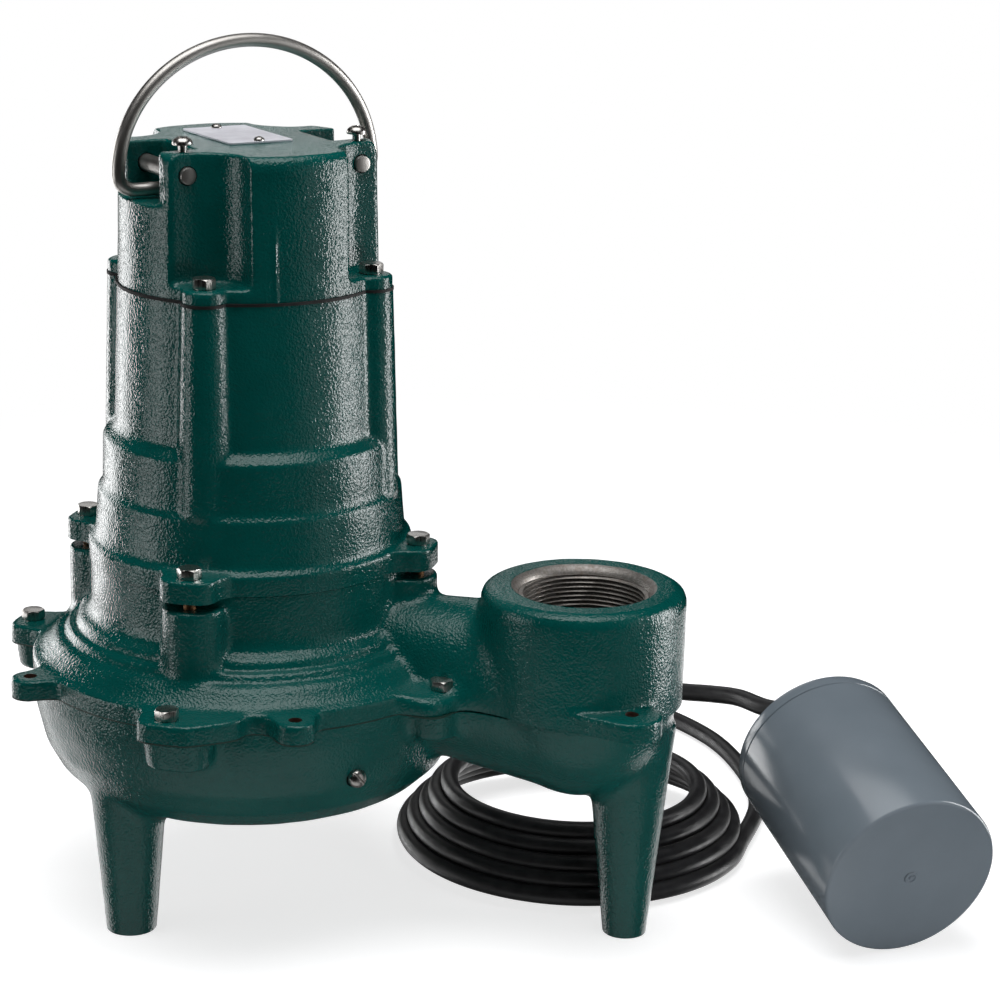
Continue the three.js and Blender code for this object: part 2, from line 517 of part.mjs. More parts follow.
// ---------------------------------------------------------------- motor
const { r: shaftR } = SHAFT;
place('stator_core', ring(STATOR.innerR, STATOR.outerR, STATOR.bottom, STATOR.top, 28), LAMINATION);
const windingRing = (z0, z1) => turned([
  [WINDING.inner, z0 + 3], [WINDING.inner + 3, z0], [WINDING.outer - 4, z0],
  [WINDING.outer, z0 + 4], [WINDING.outer, z1], [WINDING.inner, z1],
], 20);
place('winding_lower', windingRing(STATOR.bottom - WINDING.overhang, STATOR.bottom - GAP), COPPER);
place('winding_upper', windingRing(0, WINDING.overhang - GAP).rotateX(Math.PI)
  .translate(0, 0, STATOR.top + WINDING.overhang), COPPER);
place('rotor_core', ring(shaftR + GAP, ROTOR_R, STATOR.bottom - 2, STATOR.top + 2, 20), LAMINATION);
place('motor_shaft', cut(disc(shaftR, SHAFT.bottomZ, SHAFT.topZ, 20),
  disc(BOLT_R + GAP, SHAFT.bottomZ - 5, SHAFT.bottomZ + 18, 10)), STEEL);

const bracketZ = 296;
place('upper_bearing_bracket', turned([
  [14 + GAP, bracketZ], [22, bracketZ], [26, bracketZ + 3], [STATOR.outerR, bracketZ + 3],
  [STATOR.outerR, bracketZ + 10], [14 + GAP, bracketZ + 10],
], 28), CAST_IRON);
place('upper_bush', ring(shaftR + GAP, 14, bracketZ, bracketZ + 10, 20), BRASS);
place('lower_bearing_outer_race', ring(BEARING.trackOuterR, BEARING.outerR, BEARING.z0, BEARING.z1, 20),
  STEEL);
place('lower_bearing_inner_race', ring(shaftR + GAP, BEARING.trackInnerR, BEARING.z0, BEARING.z1, 20),
  STEEL);

// ---------------------------------------------------------------- shaft seal and impeller
place('seal_plate', turned([
  [SEAL_PLATE.seatR + GAP, SEAL_PLATE.z0], [SEAL_PLATE.r, SEAL_PLATE.z0],
  [SEAL_PLATE.r, SEAL_PLATE.z1], [12, SEAL_PLATE.z1], [12, SEAL_PLATE.z1 - 8],
  [SEAL_PLATE.seatR + GAP, SEAL_PLATE.z1 - 8],
], 24), CAST_IRON);
place('seal_seat', ring(9.5, SEAL_PLATE.seatR, 160, 165.6, 20), CERAMIC);
place('seal_head', ring(shaftR + GAP, 14, 152.4, 159.8, 20), CARBON);

function sealSpring() {
  const [turns, z0, z1, radius] = [3, 139.2, 150.8, 11.4];
  const points = Array.from({ length: turns * 12 + 1 }, (_, i) => {
    const p = polar(radius, 30 * i);
    return new THREE.Vector3(p.x, p.y, z0 + ((z1 - z0) * i) / (turns * 12));
  });
  return swept(points, 1, turns * 11, 5);
}
place('seal_spring', sealSpring(), STEEL);

// A vortex impeller: a shroud disc with curved vanes hanging under it.
function impeller() {
  const blade = Array.from({ length: 6 }, (_, i) => {
    const part = i / 5;
    return polar(IMPELLER.hubR - 3 + (IMPELLER.r - IMPELLER.hubR + 1) * part, -70 * part);
  });
  const tip = blade.map((p) => p.clone().rotateAround(new THREE.Vector2(), rad(-7))).reverse();
  const vane = raised([...blade, ...tip].reverse(), IMPELLER.vaneZ, IMPELLER.shroudZ + 1);
  const vanes = Array.from({ length: VANES }, (_, i) =>
    vane.clone().rotateZ((2 * Math.PI * i) / VANES));
  const hub = disc(IMPELLER.hubR, SHAFT.bottomZ - 6, IMPELLER.hubTopZ, 20);
  const shroud = disc(IMPELLER.r, IMPELLER.shroudZ, IMPELLER.topZ, 28);
  return cut(join(hub, shroud, ...vanes), disc(shaftR + GAP, SHAFT.bottomZ - GAP, 150, 20),
    disc(BOLT_R + GAP, 90, SHAFT.bottomZ, 10));
}
place('impeller', impeller(), CAST_IRON);
place('impeller_screw', hexBolt(0, 18).rotate([180, 0, 0])
  .translate([0, 0, SHAFT.bottomZ - 6 - FACE_GAP]), STEEL);

// ---------------------------------------------------------------- wiring inside the cap
place('run_capacitor', turned([
  [0, -35], [16, -35], [16.5, -34], [16.5, 22], [12, 24], [0, 24],
], 20).rotateX(-Math.PI / 2).translate(0, 0, 348), BLACK_PLASTIC, capFrame);
place('overload_protector', disc(10, LEDGE_Z - 4, LEDGE_Z + 5, 16).translate(0, -32, 0),
  BLACK_PLASTIC, capFrame);

// ---------------------------------------------------------------- cords
const gland = () => turned([
  [CORD_R + GAP, 46], [GLAND.r, 46], [GLAND.r, GLAND.bossY + FACE_GAP],
  [GLAND.flangeR, GLAND.bossY + FACE_GAP], [GLAND.flangeR, GLAND.bossY + 5], [7.4, GLAND.bossY + 7],
  [6.2, GLAND.endY], [CORD_R + GAP, GLAND.endY],
], 14).rotateX(-Math.PI / 2);
place('power_cord_gland', gland(), RUBBER, capFrame).position.set(CORD_U[0], 0, GLAND.z);
place('float_cord_gland', gland(), RUBBER, capFrame).position.set(CORD_U[1], 0, GLAND.z);

// A point given in the cap's turned frame, in the pump's frame.
const fromCap = (u, y, z) => new THREE.Vector3(u, y, z).applyAxisAngle(
  new THREE.Vector3(0, 0, 1), CAP_TURN);
const vectors = (list) => list.map((p) => new THREE.Vector3(...p));

function coilPoints() {
  const step = 30;
  const count = Math.round((COIL.to - COIL.from) / step);
  return Array.from({ length: count + 1 }, (_, i) => {
    const turn = (i * step) / 360;
    const p = polar(COIL.innerR + COIL.pitchR * turn, COIL.from + i * step);
    const z = CORD_R + GAP / 2 + (COIL.pitchZ * (count * step)) / 360 - COIL.pitchZ * turn;
    return new THREE.Vector3(COIL.x + p.x, COIL.y + p.y, z);
  });
}
const floorZ = CORD_R + GAP / 2;
// The cord runs straight through its gland and on to endY.
const throughGland = (u, endY) => [50, 66, GLAND.endY, endY].map((y) => fromCap(u, y, GLAND.z));
const powerPath = [
  ...throughGland(CORD_U[0], 102),
  ...vectors([[-67, 98, 312], [-58, 111, 250], [-54, 126, 150], [-22, 158, 84], [30, 176, 52],
    [66, 158, 39]]),
  ...coilPoints(),
  ...vectors([[232, 165, floorZ], [216, 214, floorZ], [186, 262, floorZ], [138, 298, floorZ],
    [82, 306, floorZ], [36, 290, floorZ + 3], [12, 268, floorZ + 9]]),
];
const plugStart = new THREE.Vector3(-2, 250, 14);
powerPath.push(plugStart);
place('power_cord', swept(powerPath, CORD_R, 118, 6), RUBBER);

// The cord is cut short on both sides of the point where it bends when the float swings.
const TETHER_GAP = 5;
const tetherRun = new THREE.Vector3(36, -14, 3).normalize();
const floatPath = [
  ...throughGland(CORD_U[1], 92),
  ...vectors([[-76, 74, 318], [-74, 89, 280], [-72, 108, 200], [-59, 155, 124], [14, 182, 84],
    [90, 190, 64], [150, 180, 62]]),
  TETHER.clone().addScaledVector(tetherRun, -TETHER_GAP),
];
place('float_cord', swept(floatPath, CORD_R, 34, 6), RUBBER);

// ---- moulded plug at the end of the power cord, lying on the floor
const plugFrame = new THREE.Group();
plugFrame.position.copy(plugStart);
plugFrame.rotation.z = rad(232);
pump.add(plugFrame);
const alongX = (geometry) => geometry.rotateY(Math.PI / 2);
place('power_plug', cut(alongX(turned([
  [0, 1], [6.5, 1], [7.5, 8], [12.5, 16], [13.6, 22], [13.6, 38], [12.6, 40], [0, 40],
], 16)),
...[6.35, -6.35].map((y) => block(30, 45, y - 1.1, y + 1.1, -1.5, 6.1)),
alongX(disc(2.7, 30, 45, 12)).translate(0, 0, -7.5)), BLACK_PLASTIC, plugFrame);
for (const [side, y] of [['left', 6.35], ['right', -6.35]]) {
  place(`plug_blade_${side}`, block(31, 57, y - 0.75, y + 0.75, -1, 5.4), BRASS, plugFrame);
}
place('plug_ground_pin', alongX(disc(2.4, 31, 60, 12)).translate(0, 0, -7.5), BRASS, plugFrame);

// ---------------------------------------------------------------- float switch
// In the float's frame +Z runs along its axis from the corded end to the blunt end.
const floatFrame = new THREE.Group();
const axis = new THREE.Vector3(1, 0, 0)
  .applyAxisAngle(new THREE.Vector3(0, 1, 0), rad(FLOAT.dip))
  .applyAxisAngle(new THREE.Vector3(0, 0, 1), rad(FLOAT.heading));
floatFrame.quaternion.setFromUnitVectors(new THREE.Vector3(0, 0, 1), axis);
floatFrame.position.set(FLOAT.x, FLOAT.y, FLOAT.z).addScaledVector(axis, -FLOAT.length);
pump.add(floatFrame);

place('float_shell', turned([
  [0, FLOAT.length - FLOAT_WALL], [FLOAT.r - FLOAT_WALL, FLOAT.length - FLOAT_WALL],
  [FLOAT.r - FLOAT_WALL, FLOAT_CAP + GAP], [FLOAT.r, FLOAT_CAP + GAP],
  [FLOAT.r, FLOAT.length - 1.2], [FLOAT.r - 1.2, FLOAT.length], [0, FLOAT.length],
], 36), GREY_PLASTIC, floatFrame);
place('float_end_cap', turned([
  [CORD_R + GAP, 0], [FLOAT.r - 3.5, 0], [FLOAT.r - 1, 1.2], [FLOAT.r, 3.5], [FLOAT.r, FLOAT_CAP],
  [FLOAT.r - FLOAT_WALL - GAP, FLOAT_CAP], [FLOAT.r - FLOAT_WALL - GAP, 20], [CORD_R + GAP, 20],
], 36), GREY_PLASTIC, floatFrame);
place('float_cord_boot', turned([
  [CORD_R + GAP, -22], [6.4, -22], [8.6, -GAP], [CORD_R + GAP, -GAP],
], 14), RUBBER, floatFrame);
place('float_ball_track', ring(BALL.r + 0.8, BALL.r + 2.6, ...BALL.track, 20), GREY_PLASTIC, floatFrame);
place('float_ball', new THREE.SphereGeometry(BALL.r, 16, 10), STEEL, floatFrame)
  .position.z = BALL.front;
place('float_microswitch', block(-10, 10, -6, 6, 21, 33), BLACK_PLASTIC, floatFrame);

floatFrame.updateMatrixWorld(true);
const onFloatAxis = (z) => floatFrame.localToWorld(new THREE.Vector3(0, 0, z));
place('float_lead', swept([
  TETHER.clone().addScaledVector(tetherRun, TETHER_GAP),
  ...vectors([[206, 156, 69], [222, 145, 72.5], [238, 129, 74.5]]),
  ...[-28, -18, -4, 18].map(onFloatAxis),
], CORD_R, 22, 6), RUBBER);

const extent = new THREE.Box3().setFromObject(pump, true);
pump.position.set(-(extent.min.x + extent.max.x) / 2, -(extent.min.y + extent.max.y) / 2, 0);

export default pump;
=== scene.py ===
"""Submersible sump pump: the looks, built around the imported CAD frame.

Shapes are drawn in millimetres about the motor shaft with the floor at zero, as the CAD is, and
moved into the frame by in_frame(). Castings are built from simple solids, fused by a voxel remesh,
given soft cast fillets, and then machined with boolean cuts.
"""
import math

import bmesh
import bpy
import numpy as np
from mathutils import Euler, Matrix, Vector, noise


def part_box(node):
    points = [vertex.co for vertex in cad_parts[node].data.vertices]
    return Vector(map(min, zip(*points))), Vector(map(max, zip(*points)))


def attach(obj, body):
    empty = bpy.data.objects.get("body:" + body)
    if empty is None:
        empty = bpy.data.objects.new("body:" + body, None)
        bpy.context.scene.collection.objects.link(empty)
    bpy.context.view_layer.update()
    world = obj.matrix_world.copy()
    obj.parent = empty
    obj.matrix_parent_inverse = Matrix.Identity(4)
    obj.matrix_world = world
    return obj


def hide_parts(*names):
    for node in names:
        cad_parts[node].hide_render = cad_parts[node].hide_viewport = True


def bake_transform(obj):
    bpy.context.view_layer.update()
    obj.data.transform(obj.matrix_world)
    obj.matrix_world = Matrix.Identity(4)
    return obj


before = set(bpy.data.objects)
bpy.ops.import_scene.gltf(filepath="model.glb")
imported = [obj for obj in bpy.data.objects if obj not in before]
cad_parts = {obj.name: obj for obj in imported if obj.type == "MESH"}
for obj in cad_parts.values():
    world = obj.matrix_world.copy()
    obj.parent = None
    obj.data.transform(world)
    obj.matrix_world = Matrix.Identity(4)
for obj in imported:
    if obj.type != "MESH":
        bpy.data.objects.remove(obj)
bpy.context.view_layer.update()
MM = 0.001

# ---------- places, from the frame
shaft_low, shaft_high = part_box("motor_shaft")
AXIS = Vector(((shaft_low.x + shaft_high.x) / 2, (shaft_low.y + shaft_high.y) / 2, 0))
TO_FRAME = Matrix.Translation(AXIS) @ Matrix.Scale(MM, 4)
CAP_TURN = math.radians(45)                 # the cap and bail stand at 45 degrees to the port
CAP_FRAME = Matrix.Rotation(CAP_TURN, 4, "Z")


def low_mm(node):
    """Lowest corner of a CAD node, in millimetres about the motor shaft."""
    return (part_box(node)[0] - AXIS) / MM


def high_mm(node):
    return (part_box(node)[1] - AXIS) / MM


# ---------- sizes, in millimetres
SPLIT_Z = 120.0                             # joint of the two volute castings
UPPER_BASE = low_mm("upper_casing").z
LOWER_TOP = high_mm("lower_casing").z
EAR_TOP = 129.4
BLIND_Z = 108.5                             # how deep the volute bolts reach
NECK_TOP = 176.6
FLANGE_Z = low_mm("motor_housing").z
FLANGE_TOP = 187.3
HOUSING_TOP = high_mm("motor_housing").z
CAP_Z = low_mm("motor_cap").z
LEDGE_Z = 318.2
CAP_TOP = high_mm("motor_cap").z
NECK_R = 77.8
RIM_R = 107.0
HOLE_R = 3.3                                # clearance holes for the 6 mm bolts

QUARTERS = (-90, 0, 90, 180)
VOLUTE_CIRCLE = 116.5
VOLUTE_BOLTS = (180, -90, -20.7, 20.7, 90)
BOSSES = VOLUTE_BOLTS + (-86, 83, -15.5, 15.5)
SPARE_CIRCLE = 115.5
SPARE_EARS = (-135.8, -60.8, 60.8, 135.8)
FLANGE_CIRCLE = 85.2
CAP_CIRCLE = 61.0

PORT = Vector((169, -6.7, 0))
PORT_TOP = 176.0
PORT_R = 49.0
PORT_BORE = 30.4
CHAMFER_R = 35.6
PORT_EAR = Vector((202.3, -49, 0))
PORT_EAR_R = 14.2
THROAT_X = 84.0
ELBOW_R = 34.0
THREAD_PITCH = 25.4 / 11.5                  # 2 inch pipe thread
SPARE_HOLE_R = 3.2
# each leg: where it stands, its foot radius, its head radius, and how high it runs into the bowl
LEGS = (((-39.5, -66.7), 11.8, 18.5, 74), ((-42, 92), 11.8, 19.5, 100), ((193, -3), 10.4, 22, 108))
PLUG_R, PLUG_AT, PLUG_DEGREES, PLUG_Z, PLUG_TILT = 4.4, 104.1, -43, 92, math.radians(78)
PLUG_PLACE = (Matrix.Rotation(math.radians(PLUG_DEGREES), 4, "Z") @ Matrix.Translation((PLUG_AT, 0, PLUG_Z))
              @ Matrix.Rotation(PLUG_TILT, 4, "Y"))

CAP_R = 62.0
LUG_HALF = 30.0
BULGE_HALF = 25.0
HOLLOW = 20.0                               # radius of the hollow around each cap bolt
SLOT_FRONT, SLOT_BACK, SLOT_INNER, SLOT_OUTER, SLOT_FLOOR = -19.5, 16.0, 35.0, 54.5, 354.0
PIN_U, PIN_R, PIN_Z, PIN_FRONT, PIN_BACK = 44.7, 4.0, 368.0, -32.0, 27.0
PIN_SCREW_Y = -25.0
PLATE_Y, PLATE_HALF_WIDTH, PLATE_HALF_LENGTH, RIVET_REACH = 11.3, 16.5, 27.0, 23.5
GLAND_U, GLAND_Z = 11.5, 338.0
CORD_R = 4.65
FLOOR_Z = CORD_R + 0.15                     # middle of a cord that lies on the floor
TETHER = Vector((186, 166, 65))             # where the float cord bends
FLOAT_LENGTH, FLOAT_R = 111.7, 43.9

TRIM = 4.0          # extra casting past a machined face: it is cut off once the fillets are made
PAST = 9.0          # how far a cutter reaches past the face it enters


# ---------- mesh building
def polar(radius, degrees, z=0.0):
    turn = math.radians(degrees)
    return Vector((radius * math.cos(turn), radius * math.sin(turn), z))


def turn(bm, matrix):
    bmesh.ops.transform(bm, matrix=matrix, verts=bm.verts)
    return bm


def facing_out(bm):
    bmesh.ops.recalc_face_normals(bm, faces=bm.faces)
    return bm


def skin(bm, rings):
    """Faces between each ring of vertices and the next; a ring on the axis is a single vertex."""
    for lower, upper in zip(rings, rings[1:]):
        for i in range(max(len(lower), len(upper))):
            corners = (lower[i % len(lower)], lower[(i + 1) % len(lower)],
                       upper[(i + 1) % len(upper)], upper[i % len(upper)])
            unique = list(dict.fromkeys(corners))
            if len(unique) > 2:
                bm.faces.new(unique)


def lathe(profile, segments=144, about=(0, 0, 0)):
    """A closed solid turned about Z from (radius, z) pairs that start and end on the axis or close."""
    bm = bmesh.new()
    rings = [[bm.verts.new(polar(radius, 360 * i / segments, z)) for i in range(segments if radius else 1)]
             for radius, z in profile]
    if profile[0][0]:
        rings.append(rings[0])
    skin(bm, rings)
    return turn(facing_out(bm), Matrix.Translation(about))


def disc(radius, z0, z1, segments=96, about=(0, 0, 0)):
    return lathe([(0, z0), (radius, z0), (radius, z1), (0, z1)], segments, about)


def cone(r0, r1, z0, z1, segments=64, about=(0, 0, 0)):
    return lathe([(0, z0), (r0, z0), (r1, z1), (0, z1)], segments, about)


def raised(outline, z0, z1):
    """A flat outline of (x, y) points raised from z0 to z1."""
    bm = bmesh.new()
    ends = [[bm.verts.new((x, y, z)) for x, y in outline] for z in (z0, z1)]
    for end in ends:
        bm.faces.new(end)
    skin(bm, ends)
    return facing_out(bm)


def block(x0, x1, y0, y1, z0, z1):
    return raised([(x0, y0), (x1, y0), (x1, y1), (x0, y1)], z0, z1)


def slab(z0, z1):
    """Wide enough to cut across any of the castings."""
    return block(-150, 260, -150, 150, z0, z1)


def ball(radii, centre, segments=48):
    bm = bmesh.new()
    bmesh.ops.create_uvsphere(bm, u_segments=segments, v_segments=segments // 2, radius=1)
    return turn(bm, Matrix.Translation(centre) @ Matrix.Diagonal((*radii, 1)))


def lying(bm, x, z):
    """A shape made along +Z, laid along +Y through (x, z)."""
    return turn(bm, Matrix.Translation((x, 0, z)) @ Matrix.Rotation(-math.pi / 2, 4, "X"))


def around(circle, angles, solid, *sizes):
    """The same solid, stood at each angle of a bolt circle."""
    return [solid(*sizes, about=polar(circle, a)) for a in angles]


def eared_outline(base, ears, flare=8.0, count=720):
    """Outline of a round flange whose round ears (circle, degrees, r) flare back into it."""
    outline = []
    for i in range(count):
        degrees = 360 * i / count
        reach = base
        for circle, at, r in ears:
            off = math.radians(degrees - at)
            across, centre = abs(circle * math.sin(off)), circle * math.cos(off)
            if centre <= 0 or across >= r + flare:
                continue
            if across < r:
                reach = max(reach, centre + math.sqrt(r * r - across * across))
            else:
                reach = max(reach, base + (centre - base) * (1 - (across - r) / flare) ** 2)
        outline.append(polar(reach, degrees).xy)
    return outline


def pad(circle, start, end, r, count=8):
    return [(circle, start + (end - start) * i / (count - 1), r) for i in range(count)]


PAD_R = 9.0
VOLUTE_EARS = (
    pad(VOLUTE_CIRCLE, 177.4, 182.6, PAD_R) + pad(VOLUTE_CIRCLE, -92.6, -86, PAD_R)
    + [(VOLUTE_CIRCLE - 1.1 * k, -85.5 + k, PAD_R) for k in range(9)]
    + pad(VOLUTE_CIRCLE, 78, 92.6, PAD_R) + pad(VOLUTE_CIRCLE, -24.6, -12, PAD_R)
    + pad(VOLUTE_CIRCLE, 12, 24.6, PAD_R) + [(SPARE_CIRCLE, a, PAD_R) for a in SPARE_EARS])
FLANGE_EARS = [e for a in QUARTERS for e in pad(FLANGE_CIRCLE, a - 3.6, a + 3.0, 8.6)]


def mesh_of(solids, name="solids"):
    """One mesh holding all the given bmeshes, which are freed."""
    merged = bmesh.new()
    for bm in solids:
        piece = bpy.data.meshes.new("piece")
        bm.to_mesh(piece)
        bm.free()
        merged.from_mesh(piece)
        bpy.data.meshes.remove(piece)
    mesh = bpy.data.meshes.new(name)
    merged.to_mesh(mesh)
    merged.free()
    return mesh


def taken(obj):
    """The mesh of a helper object as a bmesh; the object goes."""
    bm = bmesh.new()
    bm.from_mesh(obj.data)
    bpy.data.objects.remove(obj)
    return bm


def new_object(name, data):
    obj = bpy.data.objects.new(name, data)
    bpy.context.scene.collection.objects.link(obj)
    return obj


def apply_modifiers(obj):
    graph = bpy.context.evaluated_depsgraph_get()
    mesh = bpy.data.meshes.new_from_object(obj.evaluated_get(graph))
    obj.modifiers.clear()
    old = obj.data
    obj.data = mesh
    bpy.data.meshes.remove(old)
    return obj


def even(obj, voxel):
    """Fuses overlapping solids into one even quad mesh."""
    remesh = obj.modifiers.new("even", "REMESH")
    remesh.mode, remesh.voxel_size = "VOXEL", voxel
    return apply_modifiers(obj)


def fused(name, solids, voxel):
    return even(new_object(name, mesh_of(solids, name)), voxel)


def read(items, key, width, kind=np.float32):
    """One property of every item of a mesh, as rows of width numbers."""
    values = np.empty(len(items) * width, kind)
    items.foreach_get(key, values)
    return values.reshape(-1, width)


def coordinates(mesh):
    return read(mesh.vertices, "co", 3).astype(float)


def set_coordinates(mesh, co):
    mesh.vertices.foreach_set("co", co.astype(np.float32).ravel())
    mesh.update()


def normals(mesh):
    return read(mesh.vertex_normals, "vector", 3).astype(float)


def zone_weight(co, zones, slope=1.6):
    """1 inside the zones (centre, radius), falling to 0 at their edges."""
    weight = np.zeros(len(co))
    for centre, radius in zones:
        away = np.linalg.norm(co - np.array(centre), axis=1)
        weight = np.maximum(weight, np.clip(slope * (1 - away / radius), 0, 1))
    return weight[:, None]


def relax(obj, fillet_steps, round_steps, soft=(), soft_steps=0, crisp=(), crisp_steps=6):
    """Cast edges: inside corners fill up over fillet_steps, then everything softens a little.

    Each soft zone (centre, radius) is blended further, over soft_steps; in the crisp zones the
    corners stop filling after crisp_steps.
    """
    mesh = obj.data
    a, b = read(mesh.edges, "vertices", 2, np.int32).T
    co = coordinates(mesh)
    count = len(co)
    degree = (np.bincount(a, minlength=count) + np.bincount(b, minlength=count))[:, None]

    def pull():
        total = np.stack([np.bincount(a, co[b, k], count) + np.bincount(b, co[a, k], count)
                          for k in range(3)], 1)
        return total / degree - co

    held = 1 - zone_weight(co, crisp, slope=4)
    for step in range(fillet_steps):
        if step % 4 == 0:
            set_coordinates(mesh, co)
            n = normals(mesh)
        d = pull()
        outward = np.einsum("ij,ij->i", d, n)
        co += 0.6 * d * (outward > 0)[:, None] * (held if step >= crisp_steps else 1)
    weight = zone_weight(co, soft)
    for _ in range(soft_steps):
        co += 0.6 * pull() * weight
    for _ in range(round_steps):
        co += 0.5 * pull()
    set_coordinates(mesh, co)
    return obj


def displace(obj, offset):
    """Moves each vertex along its normal by offset(co), in millimetres."""
    co = coordinates(obj.data)
    set_coordinates(obj.data, co + normals(obj.data) * offset(co)[:, None])
    return obj


def hand_cast(obj, height=0.16, size=11.0):
    """Slow unevenness of a sand casting."""
    def offset(co):
        return np.array([noise.noise(Vector(p) / size) for p in co]) * height
    return displace(obj, offset)


def machined(obj, cutters, operation="DIFFERENCE"):
    """Cuts the solids out of obj, one after another; with "INTERSECT" only what they share is left."""
    tools = [new_object("tool", mesh_of([cutter])) for cutter in cutters]
    for tool in tools:
        boolean = obj.modifiers.new("cut", "BOOLEAN")
        boolean.operation, boolean.object, boolean.solver = operation, tool, "MANIFOLD"
    apply_modifiers(obj)
    for tool in tools:
        bpy.data.objects.remove(tool)
    return obj


def in_frame(obj, body="root", node=None, local=None):
    """Moves a finished piece from millimetres into the frame and rides it on its body."""
    obj.data.transform(TO_FRAME @ local if local else TO_FRAME)
    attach(obj, body)
    if node:
        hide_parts(*([node] if isinstance(node, str) else node))
    return obj


def paint_faces(obj, material, chosen):
    """Gives material to the faces whose centres chosen(centres, normals) picks, in the mesh's units."""
    faces = obj.data.polygons
    obj.data.materials.append(material)
    index = read(faces, "material_index", 1, np.int32).ravel()
    index[chosen(read(faces, "center", 3), read(faces, "normal", 3))] = len(obj.data.materials) - 1
    faces.foreach_set("material_index", index)
    return obj


# ---------- materials
class Nodes:
    """A thin helper for writing a node tree as a list of calls."""

    def __init__(self, name):
        self.material = bpy.data.materials.new(name)
        self.material.use_nodes = True
        self.tree = self.material.node_tree
        self.shader = self.tree.nodes["Principled BSDF"]
        coordinate = self.tree.nodes.new("ShaderNodeTexCoord")
        scale = self.tree.nodes.new("ShaderNodeVectorMath")
        scale.operation = "SCALE"
        scale.inputs["Scale"].default_value = 1 / MM
        self.link(coordinate.outputs["Object"], scale.inputs[0])
        self.place = scale.outputs[0]                # position in millimetres

    def link(self, source, target):
        self.tree.links.new(source, target)

    def add(self, kind, inputs=None, **settings):
        node = self.tree.nodes.new(kind)
        for key, value in settings.items():
            setattr(node, key, value)
        for key, value in (inputs or {}).items():
            self.put(node.inputs[key], value)
        return node

    def put(self, socket, value):
        if isinstance(value, bpy.types.NodeSocket):
            self.link(value, socket)
        else:
            socket.default_value = value

    def set(self, **inputs):
        for key, value in inputs.items():
            self.put(self.shader.inputs[key.replace("_", " ")], value)

    def noise(self, size, detail=2.0, roughness=0.5, place=None, distortion=0.0):
        """Noise whose features are about size millimetres across."""
        node = self.add("ShaderNodeTexNoise", {
            "Vector": place or self.place, "Scale": 1 / size, "Detail": detail,
            "Roughness": roughness, "Distortion": distortion})
        return node.outputs["Fac"]

    def span(self, value, low, high, start=0.3, end=0.7):
        node = self.add("ShaderNodeMapRange", {
            "Value": value, "From Min": start, "From Max": end, "To Min": low, "To Max": high})
        return node.outputs["Result"]

    def math(self, operation, a, b=0.0):
        node = self.add("ShaderNodeMath", operation=operation)
        self.put(node.inputs[0], a)
        self.put(node.inputs[1], b)
        return node.outputs[0]

    def mottle(self, pattern, a, b):
        return self.mix(self.span(pattern, 0, 1), a, b)

    def mix(self, factor, a, b):
        node = self.add("ShaderNodeMix", data_type="RGBA")
        for socket, value in zip((0, 6, 7), (factor, a, b)):
            self.put(node.inputs[socket], (*value, 1) if isinstance(value, tuple) else value)
        return node.outputs[2]

    def bump(self, height, distance, strength=1.0, normal=None):
        """height runs 0..1 over distance millimetres."""
        node = self.add("ShaderNodeBump", {
            "Height": height, "Distance": distance * MM, "Strength": strength})
        if normal:
            self.link(normal, node.inputs["Normal"])
        return node.outputs["Normal"]

    def stretched(self, x, y, z):
        """The place with each axis scaled, for brushed or drawn grain."""
        return self.add("ShaderNodeVectorMath", {0: self.place, 1: (x, y, z)},
                        operation="MULTIPLY").outputs[0]


def green_paint():
    """Gloss enamel over cast iron: a fine grain that breaks the highlights into specks."""
    n = Nodes("green_casting_paint")
    grain = n.noise(1.15, detail=1.5, roughness=0.5)
    lumps = n.noise(4.2, detail=2.0)
    broad = n.noise(34, detail=3)
    color = n.mottle(broad, (0.0008, 0.062, 0.055), (0.0014, 0.075, 0.066))
    fine = n.bump(grain, 0.38, 1.0)
    rough = n.bump(lumps, 0.18, 1.0, fine)
    n.set(Base_Color=color, Roughness=n.span(lumps, 0.12, 0.17), Normal=rough, IOR=1.5)
    return n.material


def stainless(name="stainless", brushed=(1, 1, 0.08), tone=0.60, roughness=0.24, relief=0.04):
    n = Nodes(name)
    lines = n.noise(0.5, detail=3, place=n.stretched(*brushed))
    clouds = n.noise(9, detail=3)
    color = n.mottle(clouds, (tone, tone * 0.97, tone * 0.93),
                  (tone * 0.8, tone * 0.77, tone * 0.73))
    n.set(Base_Color=color, Metallic=1.0, Roughness=n.span(lines, roughness, roughness + 0.12),
          Normal=n.bump(lines, relief, 0.5))
    return n.material


def cut_iron():
    """Freshly turned cast iron: grey, with tool marks around the port and a first bloom of rust."""
    n = Nodes("machined_iron")
    marks = n.noise(0.5, detail=2, place=n.stretched(0.05, 0.05, 3))
    bloom = n.noise(3.2, detail=5, roughness=0.65)
    specks = n.noise(1.1, detail=3)
    color = n.mottle(specks, (0.34, 0.32, 0.30), (0.20, 0.185, 0.17))
    color = n.mix(n.span(bloom, 0, 0.55, 0.55, 0.75), color, (0.16, 0.082, 0.045))
    n.set(Base_Color=color, Metallic=0.75, Roughness=n.span(bloom, 0.32, 0.55),
          Normal=n.bump(marks, 0.10, 0.5))
    return n.material


def float_plastic():
    n = Nodes("float_plastic")
    clouds = n.noise(28, detail=3)
    fine = n.noise(0.7, detail=2)
    color = n.mottle(clouds, (0.148, 0.178, 0.206), (0.160, 0.192, 0.222))
    n.set(Base_Color=color, Roughness=n.span(clouds, 0.16, 0.24), IOR=1.5,
          Normal=n.bump(fine, 0.02, 0.35, n.bump(clouds, 0.25, 0.4)))
    return n.material


